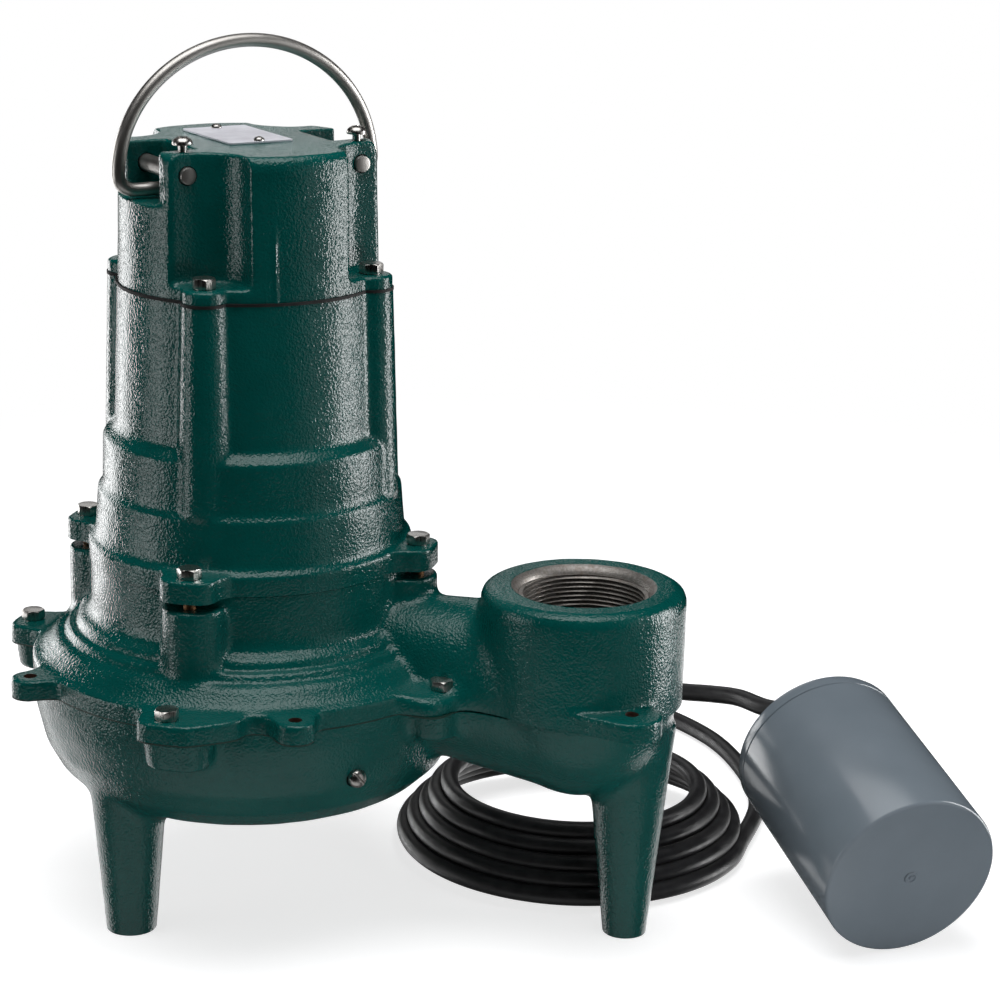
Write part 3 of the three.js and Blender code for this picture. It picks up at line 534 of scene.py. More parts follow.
def cord_rubber():
    n = Nodes("cord_rubber")
    dust = n.noise(6, detail=4, roughness=0.6)
    fine = n.noise(0.45, detail=2)
    color = n.mottle(dust, (0.010, 0.010, 0.011), (0.021, 0.021, 0.0225))
    n.set(Base_Color=color, Roughness=n.span(dust, 0.34, 0.48), IOR=1.45,
          Normal=n.bump(fine, 0.05, 0.5, n.bump(dust, 0.12, 0.5)))
    return n.material


def moulded(name, color, roughness):
    n = Nodes(name)
    fine = n.noise(0.6, detail=2)
    broad = n.noise(12, detail=3)
    lighter = tuple(c * 1.35 + 0.002 for c in color)
    n.set(Base_Color=n.mottle(broad, color, lighter),
          Roughness=n.span(broad, roughness, roughness + 0.1), Normal=n.bump(fine, 0.06, 0.6))
    return n.material


def plate_metal():
    n = Nodes("nameplate_metal")
    lines = n.noise(0.35, detail=3, place=n.stretched(1, 0.03, 1))
    clouds = n.noise(8, detail=3)
    color = n.mottle(clouds, (0.60, 0.60, 0.66), (0.72, 0.72, 0.78))
    n.set(Base_Color=color, Metallic=0.45, Roughness=n.span(lines, 0.34, 0.48),
          Normal=n.bump(lines, 0.03, 0.5))
    return n.material


def speckled(name, grain, colors, metallic, roughness, relief, strength=1.0, detail=4, stretch=(1, 1, 1)):
    """Two colours, the roughness range and the relief, all following one noise."""
    n = Nodes(name)
    speck = n.noise(grain, detail=detail, place=n.stretched(*stretch))
    n.set(Base_Color=n.mottle(speck, *colors), Metallic=metallic, Roughness=n.span(speck, *roughness),
          Normal=n.bump(speck, relief, strength))
    return n.material


def bare_metal(name, color, roughness, grain=1.0):
    darker = tuple(c * 0.72 for c in color)
    return speckled(name, grain, (color, darker), 0.9, (roughness, roughness + 0.15), 0.12, 0.6)


def stacked(name):
    """Laminated steel: fine lines across the stack."""
    n = Nodes(name)
    height = n.add("ShaderNodeSeparateXYZ", {0: n.place}).outputs["Z"]
    lines = n.math("PINGPONG", height, 0.35)
    speck = n.noise(2.0, detail=4)
    n.set(Base_Color=n.mottle(speck, (0.18, 0.18, 0.19), (0.11, 0.11, 0.12)), Metallic=0.8,
          Roughness=0.5, Normal=n.bump(lines, 0.25))
    return n.material


PAINT = green_paint()
STEEL = stainless()
BAIL_STEEL = stainless("bail_steel", (1, 1, 1), tone=0.60, roughness=0.34, relief=0.006)
PIN_STEEL = stainless("pin_steel", (1, 1, 1), tone=0.48, roughness=0.40)
CUT_IRON = cut_iron()
RUST = speckled("rusty_hole", 1.2, ((0.10, 0.035, 0.018), (0.045, 0.018, 0.012)), 0.2, (0.8, 0.8), 0.3)
FLOAT_PLASTIC = float_plastic()
CORD_RUBBER = cord_rubber()
GASKET = moulded("gasket_rubber", (0.005, 0.0045, 0.005), 0.7)
PAINTED_GASKET = moulded("painted_gasket", (0.004, 0.026, 0.019), 0.5)
BLACK_PLASTIC = moulded("black_plastic", (0.013, 0.013, 0.014), 0.45)
PLATE_METAL = plate_metal()
BRASS = bare_metal("brass", (0.55, 0.40, 0.16), 0.28)
COPPER_BOLT = bare_metal("copper_shank", (0.30, 0.16, 0.08), 0.42)
RAW_IRON = bare_metal("raw_iron", (0.14, 0.135, 0.13), 0.5, grain=1.6)
SEAL_FACE = moulded("seal_face", (0.30, 0.28, 0.25), 0.3)
LAMINATION = stacked("lamination")
COPPER = speckled("winding_copper", 0.9, ((0.42, 0.17, 0.06), (0.20, 0.07, 0.025)), 0.7, (0.38, 0.38), 0.6,
                  detail=2, stretch=(0.25, 0.25, 1.6))       # strands of wire run round the heads


def finished(obj, material, angle=40):
    """Smooth shading, but for edges sharper than angle, and one material."""
    obj.data.shade_smooth()
    obj.data.set_sharp_from_angle(angle=math.radians(angle))
    obj.data.materials.clear()
    obj.data.materials.append(material)
    return obj


# ---------- volute castings
def throat_half(side, z, drop):
    """Half of the oval duct from the bowl to the port; side 1 is above the joint, -1 below it."""
    ends = ((THROAT_X - 44, 20.0, drop[0]), (THROAT_X, 20.0, drop[0]), (PORT.x, 44.5, drop[1]))
    bm = bmesh.new()
    for x, half_width, height in ends:
        for i in range(49):
            t = math.pi * i / 48
            bm.verts.new((x, PORT.y + half_width * math.cos(t), z + side * height * math.sin(t)))
        for y in (-half_width, half_width):
            bm.verts.new((x, PORT.y + y, z - side * 4))
    bmesh.ops.convex_hull(bm, input=bm.verts)
    return facing_out(bm)


def water_way():
    """The duct out of the bowl and the elbow that turns it up into the port."""
    elbow = Vector((PORT.x, PORT.y, SPLIT_Z - 1))
    duct = turn(cone(15, ELBOW_R, 60 - PORT.x, 0), Matrix.Rotation(math.pi / 2, 4, "Y"))
    return [turn(duct, Matrix.Translation(elbow)), ball([ELBOW_R] * 3, elbow)]


def port_ear(z0, z1):
    """The spare ear on the port: a wing that grows out of the round port wall."""
    run = PORT_EAR - PORT
    end = [Vector((run.length, 0)) + polar(PORT_EAR_R, t).xy for t in np.linspace(-55, 90, 24)]
    bm = raised([(20, -26.5), (41, -26.5), *end, (20, PORT_EAR_R)], z0, z1)
    return turn(bm, Matrix.Translation(PORT) @ Matrix.Rotation(math.atan2(run.y, run.x), 4, "Z"))


DOME_SLOPE = ((NECK_R, 152), (79, 149.4), (83, 146.2), (87.5, 142.6), (92, 139.4), (97, 136))
RIDGES = ((82.4, 0.95, 2.4), (85.9, -0.75, 1.3), (88.6, 0.6, 1.7), (91.6, -0.5, 1.5), (95.0, 0.4, 2.4))


def dome_ridges(co):
    """Three ring-shaped steps around the neck, with grooves between: each has a radius, height and width."""
    r = np.hypot(co[:, 0], co[:, 1])
    bump = sum(height * np.exp(-((r - at) / width) ** 2) for at, height, width in RIDGES)
    surface = np.interp(r, *zip(*DOME_SLOPE))
    return bump * np.exp(-((co[:, 2] - surface) / 2.2) ** 4)


def upper_casing():
    base, below, above = UPPER_BASE, UPPER_BASE - TRIM, NECK_TOP + TRIM
    solids = [
        lathe([(0, below), (RIM_R, below), (RIM_R, base + 2.5), (105.2, 126.8), (101.5, 131.8),
               *DOME_SLOPE[::-1], (NECK_R, above), (0, above)]),
        raised(eared_outline(RIM_R, VOLUTE_EARS, 6), below, EAR_TOP),
        *around(79.4, QUARTERS, disc, 15, base + 6, NECK_TOP - 4),
        lathe([(0, below), (PORT_R - 0.6, below), (PORT_R, PORT_TOP - 5.5),
               (PORT_R - 1.4, PORT_TOP - 2), (PORT_R - 5.2, PORT_TOP), (0, PORT_TOP)],
              about=PORT),
        throat_half(1, base, (43, 43)),
        port_ear(below, EAR_TOP),
    ]
    valley = [((THROAT_X + 33 + k, PORT.y - 40 + k, z), 26) for z in (126, 138, 150) for k in (0, 12)]
    ear = [((PORT_EAR.x + k, PORT_EAR.y, EAR_TOP), 21) for k in (-14, 0, 6)]
    obj = relax(fused("upper_casing_cast", solids, voxel=1.1), fillet_steps=34, round_steps=3,
                soft=valley, soft_steps=90, crisp=ear)
    displace(obj, dome_ridges)
    hand_cast(obj)
    spare_holes = [*(polar(SPARE_CIRCLE, a) for a in SPARE_EARS), PORT_EAR]
    machined(obj, [slab(base - PAST, base), disc(NECK_R + 1, NECK_TOP, NECK_TOP + PAST)])
    machined(obj, [
        lathe([(0, base - PAST), (97, base - PAST), (97, base - 5), (94, 127), (70, 140), (62, 146),
               (62, 158.1), (68.9, 158.1), (68.9, NECK_TOP + PAST), (0, NECK_TOP + PAST)]),
        *water_way(),
        disc(PORT_BORE + 0.5, SPLIT_Z, PORT_TOP + PAST, about=PORT),
        lathe([(0, PORT_TOP - 5.8), (29.4, PORT_TOP - 5.8), (CHAMFER_R, PORT_TOP + 1),
               (CHAMFER_R, PORT_TOP + PAST), (0, PORT_TOP + PAST)], about=PORT),
        *around(VOLUTE_CIRCLE, VOLUTE_BOLTS, disc, HOLE_R, base - PAST, EAR_TOP + PAST, 32),
        *around(FLANGE_CIRCLE, QUARTERS, disc, HOLE_R, 150, NECK_TOP + PAST, 32),
        *(disc(SPARE_HOLE_R, base - PAST, EAR_TOP + PAST, 32, at) for at in spare_holes),
    ])
    finished(obj, PAINT, 50)

    def reach(c, at):
        return np.hypot(c[:, 0] - at.x, c[:, 1] - at.y)

    def in_port(c, n):
        return (reach(c, PORT) < CHAMFER_R - 0.3) & (c[:, 2] > 140) & (n[:, 2] < 0.95)

    def in_hole(c, n):
        near = [reach(c, at) < SPARE_HOLE_R + 0.2 for at in spare_holes]
        return np.any(near, 0) & (abs(n[:, 2]) < 0.5)
    paint_faces(obj, CUT_IRON, in_port)
    paint_faces(obj, RUST, in_hole)
    return in_frame(obj, node="upper_casing")


def port_thread():
    """The helical pipe thread as a ring: crests point inwards and the bore tapers 1 in 16."""
    rows_per_pitch, z0, z1, segments = 8, PORT_TOP - 27, PORT_TOP - 3.9, 144
    rows = int((z1 - z0) / THREAD_PITCH * rows_per_pitch)
    bm = bmesh.new()
    grid = []
    for k in range(rows + 1):
        z = z0 + (z1 - z0) * k / rows
        line = []
        for i in range(segments):
            phase = ((z - z0) / THREAD_PITCH + i / segments) % 1
            depth = abs(phase - 0.5) * 2                  # 1 at the crest, 0 at the root
            depth = min(max((depth - 0.08) / 0.84, 0), 1)
            r = PORT_BORE + 0.35 - (PORT_TOP - z) / 32 - 1.55 * depth
            line.append(bm.verts.new(PORT + polar(r, 360 * i / segments, z)))
        grid.append(line)
    outer = [[bm.verts.new(PORT + polar(PORT_BORE + 0.48, 360 * i / segments, z))
              for i in range(segments)] for z in (z1, z0)]
    skin(bm, grid + outer + [grid[0]])
    obj = new_object("port_thread", mesh_of([facing_out(bm)], "port_thread"))
    return in_frame(finished(obj, CUT_IRON, 35))


def lower_casing():
    top, above = LOWER_TOP, LOWER_TOP + TRIM
    solids = [
        lathe([(0, 57.5), (56, 58.2), (74, 61.6), (87, 67.2), (96, 75.6), (102, 87), (105.6, 102),
               (RIM_R, 112), (RIM_R, above), (0, above)]),
        throat_half(-1, top, (23, 47)), ball((44.5, 44.5, 47), (PORT.x, PORT.y, top), 72),
        disc(45.5, top - 4, above, about=PORT),
        *around(VOLUTE_CIRCLE - 4, BOSSES, cone, 11, 13, 106, above),
        *(cone(foot, head, -TRIM, leg_top, about=(*at, 0)) for at, foot, head, leg_top in LEGS),
    ]
    obj = relax(fused("lower_casing_cast", solids, voxel=1.35), fillet_steps=40, round_steps=4)
    hand_cast(obj)
    machined(obj, [slab(top, top + 60), slab(-PAST, 0)])
    machined(obj, [
        lathe([(0, 64.5), (50, 65), (76, 71), (89, 82), (96, 96), (98.5, top + 5), (0, top + 5)]),
        *water_way(), disc(27, 20, 70),
        *around(VOLUTE_CIRCLE, VOLUTE_BOLTS, disc, HOLE_R, BLIND_Z, top + PAST, 32),
        turn(disc(PLUG_R, -30, 30, 48), PLUG_PLACE),
    ])
    finished(obj, PAINT, 50)
    return in_frame(obj, node="lower_casing")


def drain_plug():
    """A slotted pan-head plug, screwed into the bowl."""
    obj = new_object("drain_plug_screw", mesh_of([lathe([
        (0, -8), (3.6, -8), (3.6, 0.2), (4.3, 0.2), (PLUG_R, 1.4), (4.1, 2.6), (3.2, 3.6), (1.8, 4.1),
        (0, 4.2)], 64)]))
    machined(obj, [turn(block(-6, 6, -0.55, 0.55, 2.7, 6), Matrix.Rotation(math.radians(35), 4, "Z"))])
    obj.data.transform(PLUG_PLACE)
    return in_frame(finished(obj, STEEL, 35), node="drain_plug")


def casing_gasket():
    sheet = raised(eared_outline(RIM_R, VOLUTE_EARS, 6, 360), SPLIT_Z - 0.35, SPLIT_Z + 0.35)
    obj = new_object("casing_gasket_sheet", mesh_of([sheet]))
    machined(obj, [disc(99, SPLIT_Z - 2, SPLIT_Z + 2)])
    return in_frame(finished(obj, PAINTED_GASKET), node="casing_gasket")


# ---------- motor housing
def motor_housing():
    top, above, below = HOUSING_TOP, HOUSING_TOP + TRIM, FLANGE_Z - TRIM
    solids = [
        lathe([(0, below), (78.4, below), (78.6, FLANGE_TOP - 1), (75.4, FLANGE_TOP + 1.4),
               (74.4, 200), (73.6, 211.2), (71.2, 213.4), (70.6, 237.4), (65, 242.6), (62.4, above),
               (0, above)]),
        raised(eared_outline(77, FLANGE_EARS, 12), below, FLANGE_TOP),
        *around(CAP_CIRCLE, QUARTERS, cone, 13.6, 10.4, 212, above),
    ]
    obj = relax(fused("motor_housing_cast", solids, voxel=1.0), fillet_steps=9, round_steps=2)
    hand_cast(obj)
    machined(obj, [slab(FLANGE_Z - PAST, FLANGE_Z), slab(top, top + PAST)])
    machined(obj, [
        lathe([(0, 193), (50, 193), (54.8, 205), (54.8, top + PAST), (0, top + PAST)]),
        disc(20.3, 181, 200), disc(12, 170, 200),
        *around(FLANGE_CIRCLE, QUARTERS, disc, HOLE_R, FLANGE_Z - PAST, FLANGE_TOP + PAST, 32),
        *around(CAP_CIRCLE, QUARTERS, disc, HOLE_R, 288, top + PAST, 32),
    ])
    finished(obj, PAINT, 50)
    return in_frame(obj, node="motor_housing")


def cap_gasket():
    """A thin sheet that stands a little proud of the joint, unevenly."""
    outline = []
    for p in eared_outline(CAP_R + 1.0, [(CAP_CIRCLE, a, 11.0) for a in QUARTERS], 4):
        stray = 0.55 * noise.noise(Vector((p.x, p.y, 3)) / 9)
        outline.append(p * (1 + stray / p.length))
    middle = (HOUSING_TOP + CAP_Z) / 2
    obj = new_object("cap_gasket_sheet", mesh_of([raised(outline, middle - 0.68, middle + 0.68)]))
    machined(obj, [disc(55.5, 300, 320)])
    return in_frame(finished(obj, GASKET), node="cap_gasket")


# ---------- motor cap
def cap_cross():
    """Plan of the cap above its ledge: a cross whose inner corners are hollowed for the bolts."""
    a, b, far = BULGE_HALF, LUG_HALF, 80
    centre = Vector((a + HOLLOW, b + HOLLOW))
    curve = [centre + polar(HOLLOW, 270 - 90 * t).xy for t in np.linspace(0, 1, 17)]
    corner = [Vector((far, b)), *curve, Vector((a, far))]
    outline = []
    for sx, sy in ((1, 1), (-1, 1), (-1, -1), (1, -1)):
        outline += [Vector((sx * p.x, sy * p.y)) for p in corner[::sx * sy]]
    return outline


def draft_ridge(co):
    """The faint vertical casting ridge on the front of the wiring bulge."""
    across = co[:, 0] + 15.0
    run = np.clip((350 - co[:, 2]) / 12, 0, 1) * (co[:, 2] < 352)
    return 0.85 * np.exp(-(across / 0.9) ** 2) * run * (co[:, 1] < -50)


def motor_cap():
    below = CAP_Z - TRIM
    corners = [a - 45 for a in QUARTERS]
    dome = lathe([(0, below), (CAP_R, below), (CAP_R, CAP_Z), (CAP_R - 1.2, CAP_TOP - 6),
                  (CAP_R - 2.2, CAP_TOP - 2.4), (CAP_R - 4.6, CAP_TOP), (0, CAP_TOP)])
    cross = new_object("cross", mesh_of([dome]))
    machined(cross, [raised(cap_cross(), below, CAP_TOP + 5)], "INTERSECT")
    solids = [
        raised(eared_outline(CAP_R, [(CAP_CIRCLE, a, 10.2) for a in corners], 6), below, LEDGE_Z),
        taken(cross),
        *(lying(disc(11, 40, 64), u, GLAND_Z) for u in (GLAND_U, -GLAND_U)),
    ]
    voxel = 0.95
    obj = fused("motor_cap_cast", solids, voxel)
    slots = []
    for side in (1, -1):
        inner, edge, far = (side * reach for reach in (SLOT_INNER, SLOT_OUTER, 90))
        slots.append(block(inner, far, SLOT_FRONT, SLOT_BACK, SLOT_FLOOR, CAP_TOP + PAST))
        slots.append(block(edge, far, -50, 50, SLOT_FLOOR, CAP_TOP + PAST))
    relax(even(machined(obj, slots), voxel), fillet_steps=14, round_steps=4)
    displace(obj, draft_ridge)
    hand_cast(obj)
    machined(obj, [slab(CAP_Z - PAST, CAP_Z)])
    machined(obj, [
        *(lying(disc(PIN_R + 0.55, -60, PIN_BACK + 0.5, 48), u, PIN_Z) for u in (PIN_U, -PIN_U)),
        *(disc(2.3, PIN_Z, CAP_TOP + PAST, 32, (u, PIN_SCREW_Y, 0)) for u in (PIN_U, -PIN_U)),
        *(lying(disc(8.3, 40, 90), u, GLAND_Z) for u in (GLAND_U, -GLAND_U)),
        block(-19, 19, -50, 50, CAP_Z - PAST, CAP_TOP - 8),
        *around(CAP_CIRCLE, corners, disc, HOLE_R, CAP_Z - PAST, LEDGE_Z + 3, 32),
    ])
    finished(obj, PAINT, 50)
    return in_frame(obj, node="motor_cap", local=CAP_FRAME)


def sweep(name, points, radius, sides, spacing, round_ends=0.0):
    """A round bar along a smooth curve through points, as a mesh with even rings."""
    path = smooth_path(points, spacing)
    tangent = np.gradient(path, axis=0)
    tangent /= np.linalg.norm(tangent, axis=1)[:, None]
    side = np.cross(tangent[0], (0, 0, 1) if abs(tangent[0][2]) < 0.9 else (1, 0, 0))
    frames = []
    for t in tangent:
        side = side - t * (side @ t)
        side /= np.linalg.norm(side)
        frames.append((side, np.cross(t, side)))
    radii = np.full(len(path), radius)
    if round_ends:
        along = np.linspace(0, (len(path) - 1) * spacing, len(path))
        for distance in (along, along[::-1]):
            near = np.clip(distance / round_ends, 0, 1)
            radii = radii * np.where(distance < round_ends, 0.35 + 0.65 * np.sqrt(1 - (1 - near) ** 2), 1)
    bm = bmesh.new()
    turns = [2 * math.pi * i / sides for i in range(sides)]
    rings = [[bm.verts.new(p + (u * math.cos(a) + v * math.sin(a)) * r) for a in turns]
             for p, (u, v), r in zip(path, frames, radii)]
    skin(bm, rings)
    for end in (rings[0], rings[-1]):
        bm.faces.new(end)
    return new_object(name, mesh_of([facing_out(bm)], name))


def smooth_path(points, spacing):
    """Centripetal Catmull-Rom curve through points, resampled to even spacing."""
    p = np.array([tuple(q) for q in points], float)
    p = np.vstack([2 * p[0] - p[1], p, 2 * p[-1] - p[-2]])
    fine = []
    for a, b, c, d in zip(p, p[1:], p[2:], p[3:]):
        t0, t1 = 0.0, np.linalg.norm(b - a) ** 0.5
        t2 = t1 + np.linalg.norm(c - b) ** 0.5
        t3 = t2 + np.linalg.norm(d - c) ** 0.5
        t = np.linspace(t1, t2, 40, endpoint=False)[:, None]
        ab = (t1 - t) / (t1 - t0) * a + (t - t0) / (t1 - t0) * b
        bc = (t2 - t) / (t2 - t1) * b + (t - t1) / (t2 - t1) * c
        cd = (t3 - t) / (t3 - t2) * c + (t - t2) / (t3 - t2) * d
        abc = (t2 - t) / (t2 - t0) * ab + (t - t0) / (t2 - t0) * bc
        bcd = (t3 - t) / (t3 - t1) * bc + (t - t1) / (t3 - t1) * cd
        fine.append((t2 - t) / (t2 - t1) * abc + (t - t1) / (t2 - t1) * bcd)
    fine = np.vstack(fine + [p[-2:-1]])
    length = np.concatenate([[0], np.cumsum(np.linalg.norm(np.diff(fine, axis=0), axis=1))])
    places = np.linspace(0, length[-1], max(int(length[-1] / spacing), 2) + 1)
    return np.stack([np.interp(places, length, fine[:, k]) for k in range(3)], 1)


def bail():
    """The wire bail: an arch whose feet turn in under the pins."""
    u, spring, top, hook_z, hook_end, rod = 65.8, 365.0, 424.6, 358.2, 38.5, 3.2
    foot = [(hook_end, hook_z), (hook_end + 9, hook_z), (hook_end + 19, hook_z),
            (u - 5.0, hook_z + 0.5), (u - 1.6, hook_z + 2.6)]
    arch = [(u * math.cos(math.pi * i / 14), spring + (top - spring) * math.sin(math.pi * i / 14))
            for i in range(15)]
    line = foot + arch + [(-x, z) for x, z in foot[::-1]]
    obj = sweep("bail_wire", [(x, 0, z) for x, z in line], rod, 28, 1.6, round_ends=1.6)
    return in_frame(finished(obj, BAIL_STEEL, 60), "bail", "bail_handle", CAP_FRAME)


def handle_pins():
    for name, u in (("right", PIN_U), ("left", -PIN_U)):
        pin = lathe([(0, PIN_FRONT), (PIN_R - 0.9, PIN_FRONT), (PIN_R - 0.25, PIN_FRONT + 0.3),
                     (PIN_R, PIN_FRONT + 0.9), (PIN_R, PIN_BACK), (0, PIN_BACK)], 48)
        obj = new_object(f"bail_pin_{name}", mesh_of([lying(pin, u, PIN_Z)]))
        in_frame(finished(obj, PIN_STEEL), node=f"handle_pin_{name}", local=CAP_FRAME)


def pan_screws():
    """Pan-head screws with a cross recess, left standing a little proud of the lugs."""
    seat = CAP_TOP + 3.2
    for name, u, spin in (("right", PIN_U, 20), ("left", -PIN_U, 62)):
        obj = new_object(f"lug_screw_{name}", mesh_of([lathe([
            (0, PIN_Z + 4.6), (2.0, PIN_Z + 4.6), (2.0, seat), (4.6, seat), (4.8, seat + 0.7),
            (4.5, seat + 1.8), (3.6, seat + 2.9), (2.1, seat + 3.7), (0, seat + 4.0)], 48)]))
        for heading in (spin, spin + 90):
            bar = block(-2.7, 2.7, -0.55, 0.55, seat + 1.6, seat + 5)
            machined(obj, [turn(bar, Matrix.Rotation(math.radians(heading), 4, "Z"))])
        obj.data.transform(Matrix.Translation((u, PIN_SCREW_Y, 0)))
        in_frame(finished(obj, STEEL, 35), node=f"pin_screw_{name}", local=CAP_FRAME)


def nameplate():
    """A blank brushed plate with rounded corners and dome rivets on its short sides."""
    r, base = 1.6, CAP_TOP + 0.12
    corners = ((1, -1, -90), (1, 1, 0), (-1, 1, 90), (-1, -1, 180))
    outline = []
    for sx, sy, start in corners:
        centre = Vector((sx * (PLATE_HALF_WIDTH - r), PLATE_Y + sy * (PLATE_HALF_LENGTH - r)))
        outline += [centre + polar(r, start + 15 * k).xy for k in range(7)]
    obj = new_object("nameplate_sheet", mesh_of([raised(outline, base, base + 0.75)]))
    in_frame(finished(obj, PLATE_METAL), node="nameplate", local=CAP_FRAME)
    for end, side in (("front", -1), ("back", 1)):
        at = (0, PLATE_Y + side * RIVET_REACH, base + 0.75)
        dome = lathe([(0, 0), (2.6, 0), (2.55, 0.5), (2.2, 1.1), (1.5, 1.65), (0.7, 1.95), (0, 2.0)], 40, at)
        rivet = new_object(f"plate_rivet_{end}", mesh_of([dome]))
        in_frame(finished(rivet, STEEL), node=f"nameplate_rivet_{end}", local=CAP_FRAME)


# ---------- bolts
def hex_bolt(node, seat, length, circle, degrees, spin):
    """A hexagon-head bolt with a chamfered crown, a thin washer face and a copper-coloured shank."""
    flats, height = 10.0, 5.0
    corner = flats / 2 / math.cos(math.pi / 6)
    head = raised([polar(corner, 60 * i).xy for i in range(6)], seat + 0.5, seat + height)
    crown = lathe([(0, seat + 0.4), (corner + 1, seat + 0.4), (corner + 1, seat + height - 1.5),
                   (corner - 0.75, seat + height), (0, seat + height)], 72)
    crowned = machined(new_object("head", mesh_of([head])), [crown], "INTERSECT")
    bevel = crowned.modifiers.new("edges", "BEVEL")
    bevel.width, bevel.segments = 0.22, 2
    bevel.limit_method, bevel.angle_limit = "ANGLE", math.radians(40)
    head = turn(taken(apply_modifiers(crowned)), Matrix.Rotation(math.radians(spin), 4, "Z"))
    washer, shank = disc(4.75, seat + 0.1, seat + 0.55, 48), disc(3, seat - length, seat + 0.3, 32)
    obj = new_object(f"bolt_{node}", mesh_of([head, washer, shank]))
    obj.data.transform(Matrix.Translation(polar(circle, degrees)))
    finished(obj, STEEL, 28)
    paint_faces(obj, COPPER_BOLT, lambda c, n: c[:, 2] < seat - 1)
    in_frame(obj, node=node)


def bolts():
    sets = (("cap_bolt", LEDGE_Z, 26, CAP_CIRCLE, QUARTERS),
            ("flange_bolt", FLANGE_TOP, 32, FLANGE_CIRCLE, QUARTERS),
            ("casing_bolt", EAR_TOP, EAR_TOP - BLIND_Z - 0.3, VOLUTE_CIRCLE, VOLUTE_BOLTS))
    for row, (name, seat, length, circle, angles) in enumerate(sets):
        for i, degrees in enumerate(angles):
            hex_bolt(f"{name}_{i + 1}", seat, length, circle, degrees, spin=(17 * i + 11 * row) % 60)


# ---------- cords, glands and plug
def from_cap(u, y, z):
    return CAP_FRAME @ Vector((u, y, z))


def coil_points():
    """The coil on the floor: loops that lean on each other, the inner ones on top."""
    x, y, inner, pitch_r, pitch_z = 142, 101, 64.5, 5.8, 6.4
    start, end, step = 170, 370 + 4 * 360, 15
    count = round((end - start) / step)
    points = []
    for i in range(count + 1):
        loops = i * step / 360
        angle = start + i * step
        radius = inner + pitch_r * loops + 2.4 * noise.noise(Vector((loops * 2.3, 4.1, 0)))
        lift = 1.4 * noise.noise(Vector((loops * 2.6, 9.7, 2)))
        z = FLOOR_Z + pitch_z * (count * step / 360 - loops) + max(lift, 0)
        points.append(Vector((x, y, 0)) + polar(radius, angle, z))
    return points


PLUG_START = Vector((-2, 250, 14))


def power_cord():
    through = [from_cap(GLAND_U, y, GLAND_Z) for y in (50, 66, 82, 102)]
    drop = [(-67, 98, 312), (-58, 111, 250), (-54, 126, 150), (-22, 158, 84), (30, 176, 52), (66, 158, 39)]
    tail = [(232, 165, FLOOR_Z), (216, 214, FLOOR_Z), (186, 262, FLOOR_Z), (138, 298, FLOOR_Z),
            (82, 306, FLOOR_Z), (36, 290, FLOOR_Z + 3), (12, 268, FLOOR_Z + 9)]
    points = [*through, *map(Vector, drop), *coil_points(), *map(Vector, tail), PLUG_START]
    obj = sweep("power_cord_jacket", points, CORD_R, 20, 2.6)
    return in_frame(finished(obj, CORD_RUBBER, 60), node="power_cord")


def float_frame():
    """The float's own frame: +Z runs along its axis from the corded end to the blunt end."""
    heading, dip = -56.9, math.radians(14.2)
    axis = polar(math.cos(dip), heading, -math.sin(dip))
    blunt = Vector((330.2, 1.7, 42.7))
    rotation = axis.to_track_quat("Z", "Y").to_matrix().to_4x4()
    return Matrix.Translation(blunt - axis * FLOAT_LENGTH) @ rotation


FLOAT_FRAME = float_frame()


def float_cord():
    """One jacket from the cap, through the tether, to the float."""
    through = [from_cap(-GLAND_U, y, GLAND_Z) for y in (50, 66, 82, 92)]
    drop = [(-76, 74, 318), (-74, 89, 280), (-72, 108, 200), (-59, 155, 124), (14, 182, 84),
            (90, 190, 64), (150, 180, 62)]
    lead = [(206, 156, 69), (222, 145, 72.5), (238, 129, 74.5)]
    ends = [FLOAT_FRAME @ Vector((0, 0, z)) for z in (-28, -18, -4, 18)]
    points = [*through, *map(Vector, drop), TETHER, *map(Vector, lead), *ends]
    obj = sweep("float_cord_jacket", points, CORD_R, 20, 2.0)
    finished(obj, CORD_RUBBER, 60)
    obj.data.transform(TO_FRAME)
    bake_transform(obj)
    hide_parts("float_cord", "float_lead")


def glands():
    """Moulded strain reliefs with ribs."""
    profile = [(CORD_R + 0.1, 46), (8, 46), (8, 64.1), (9.2, 64.1), (9.6, 64.6), (9.6, 68.6), (9.2, 69.1),
               (7.4, 71)]
    for k in range(4):
        z = 72.0 + 2.4 * k
        r = 7.2 - 0.25 * k
        profile += [(r, z), (r, z + 1.2), (r - 0.7, z + 1.5), (r - 0.7, z + 2.1)]
    profile += [(5.9, 82), (CORD_R + 0.1, 82)]
    for name, u in (("power", GLAND_U), ("float", -GLAND_U)):
        obj = new_object(f"{name}_gland", mesh_of([lying(lathe(profile, 64), u, GLAND_Z)]))
        in_frame(finished(obj, GASKET), node=f"{name}_cord_gland", local=CAP_FRAME)


def power_plug():
    """A round moulded plug with finger grips, lying on the floor."""
    place = (Matrix.Translation(PLUG_START) @ Matrix.Rotation(math.radians(232), 4, "Z")
             @ Matrix.Rotation(math.pi / 2, 4, "Y"))
    body = lathe([(0, 1), (6.2, 1), (6.8, 1.6), (6.9, 4), (6.3, 4.6), (6.4, 6), (7.1, 6.6), (7.3, 9),
                  (9.0, 11.5), (11.6, 14.5), (13.0, 17.6), (13.6, 21), (13.6, 37.2), (13.2, 39.2),
                  (12.3, 40), (0, 40)], 72)
    obj = new_object("plug_body", mesh_of([body]))
    grips = [disc(2.0, 17, 45, 24, (*polar(14.9, 360 * i / 12 + 15).xy, 0)) for i in range(12)]
    machined(obj, grips)
    obj.data.transform(place)
    in_frame(finished(obj, BLACK_PLASTIC, 40), node="power_plug")


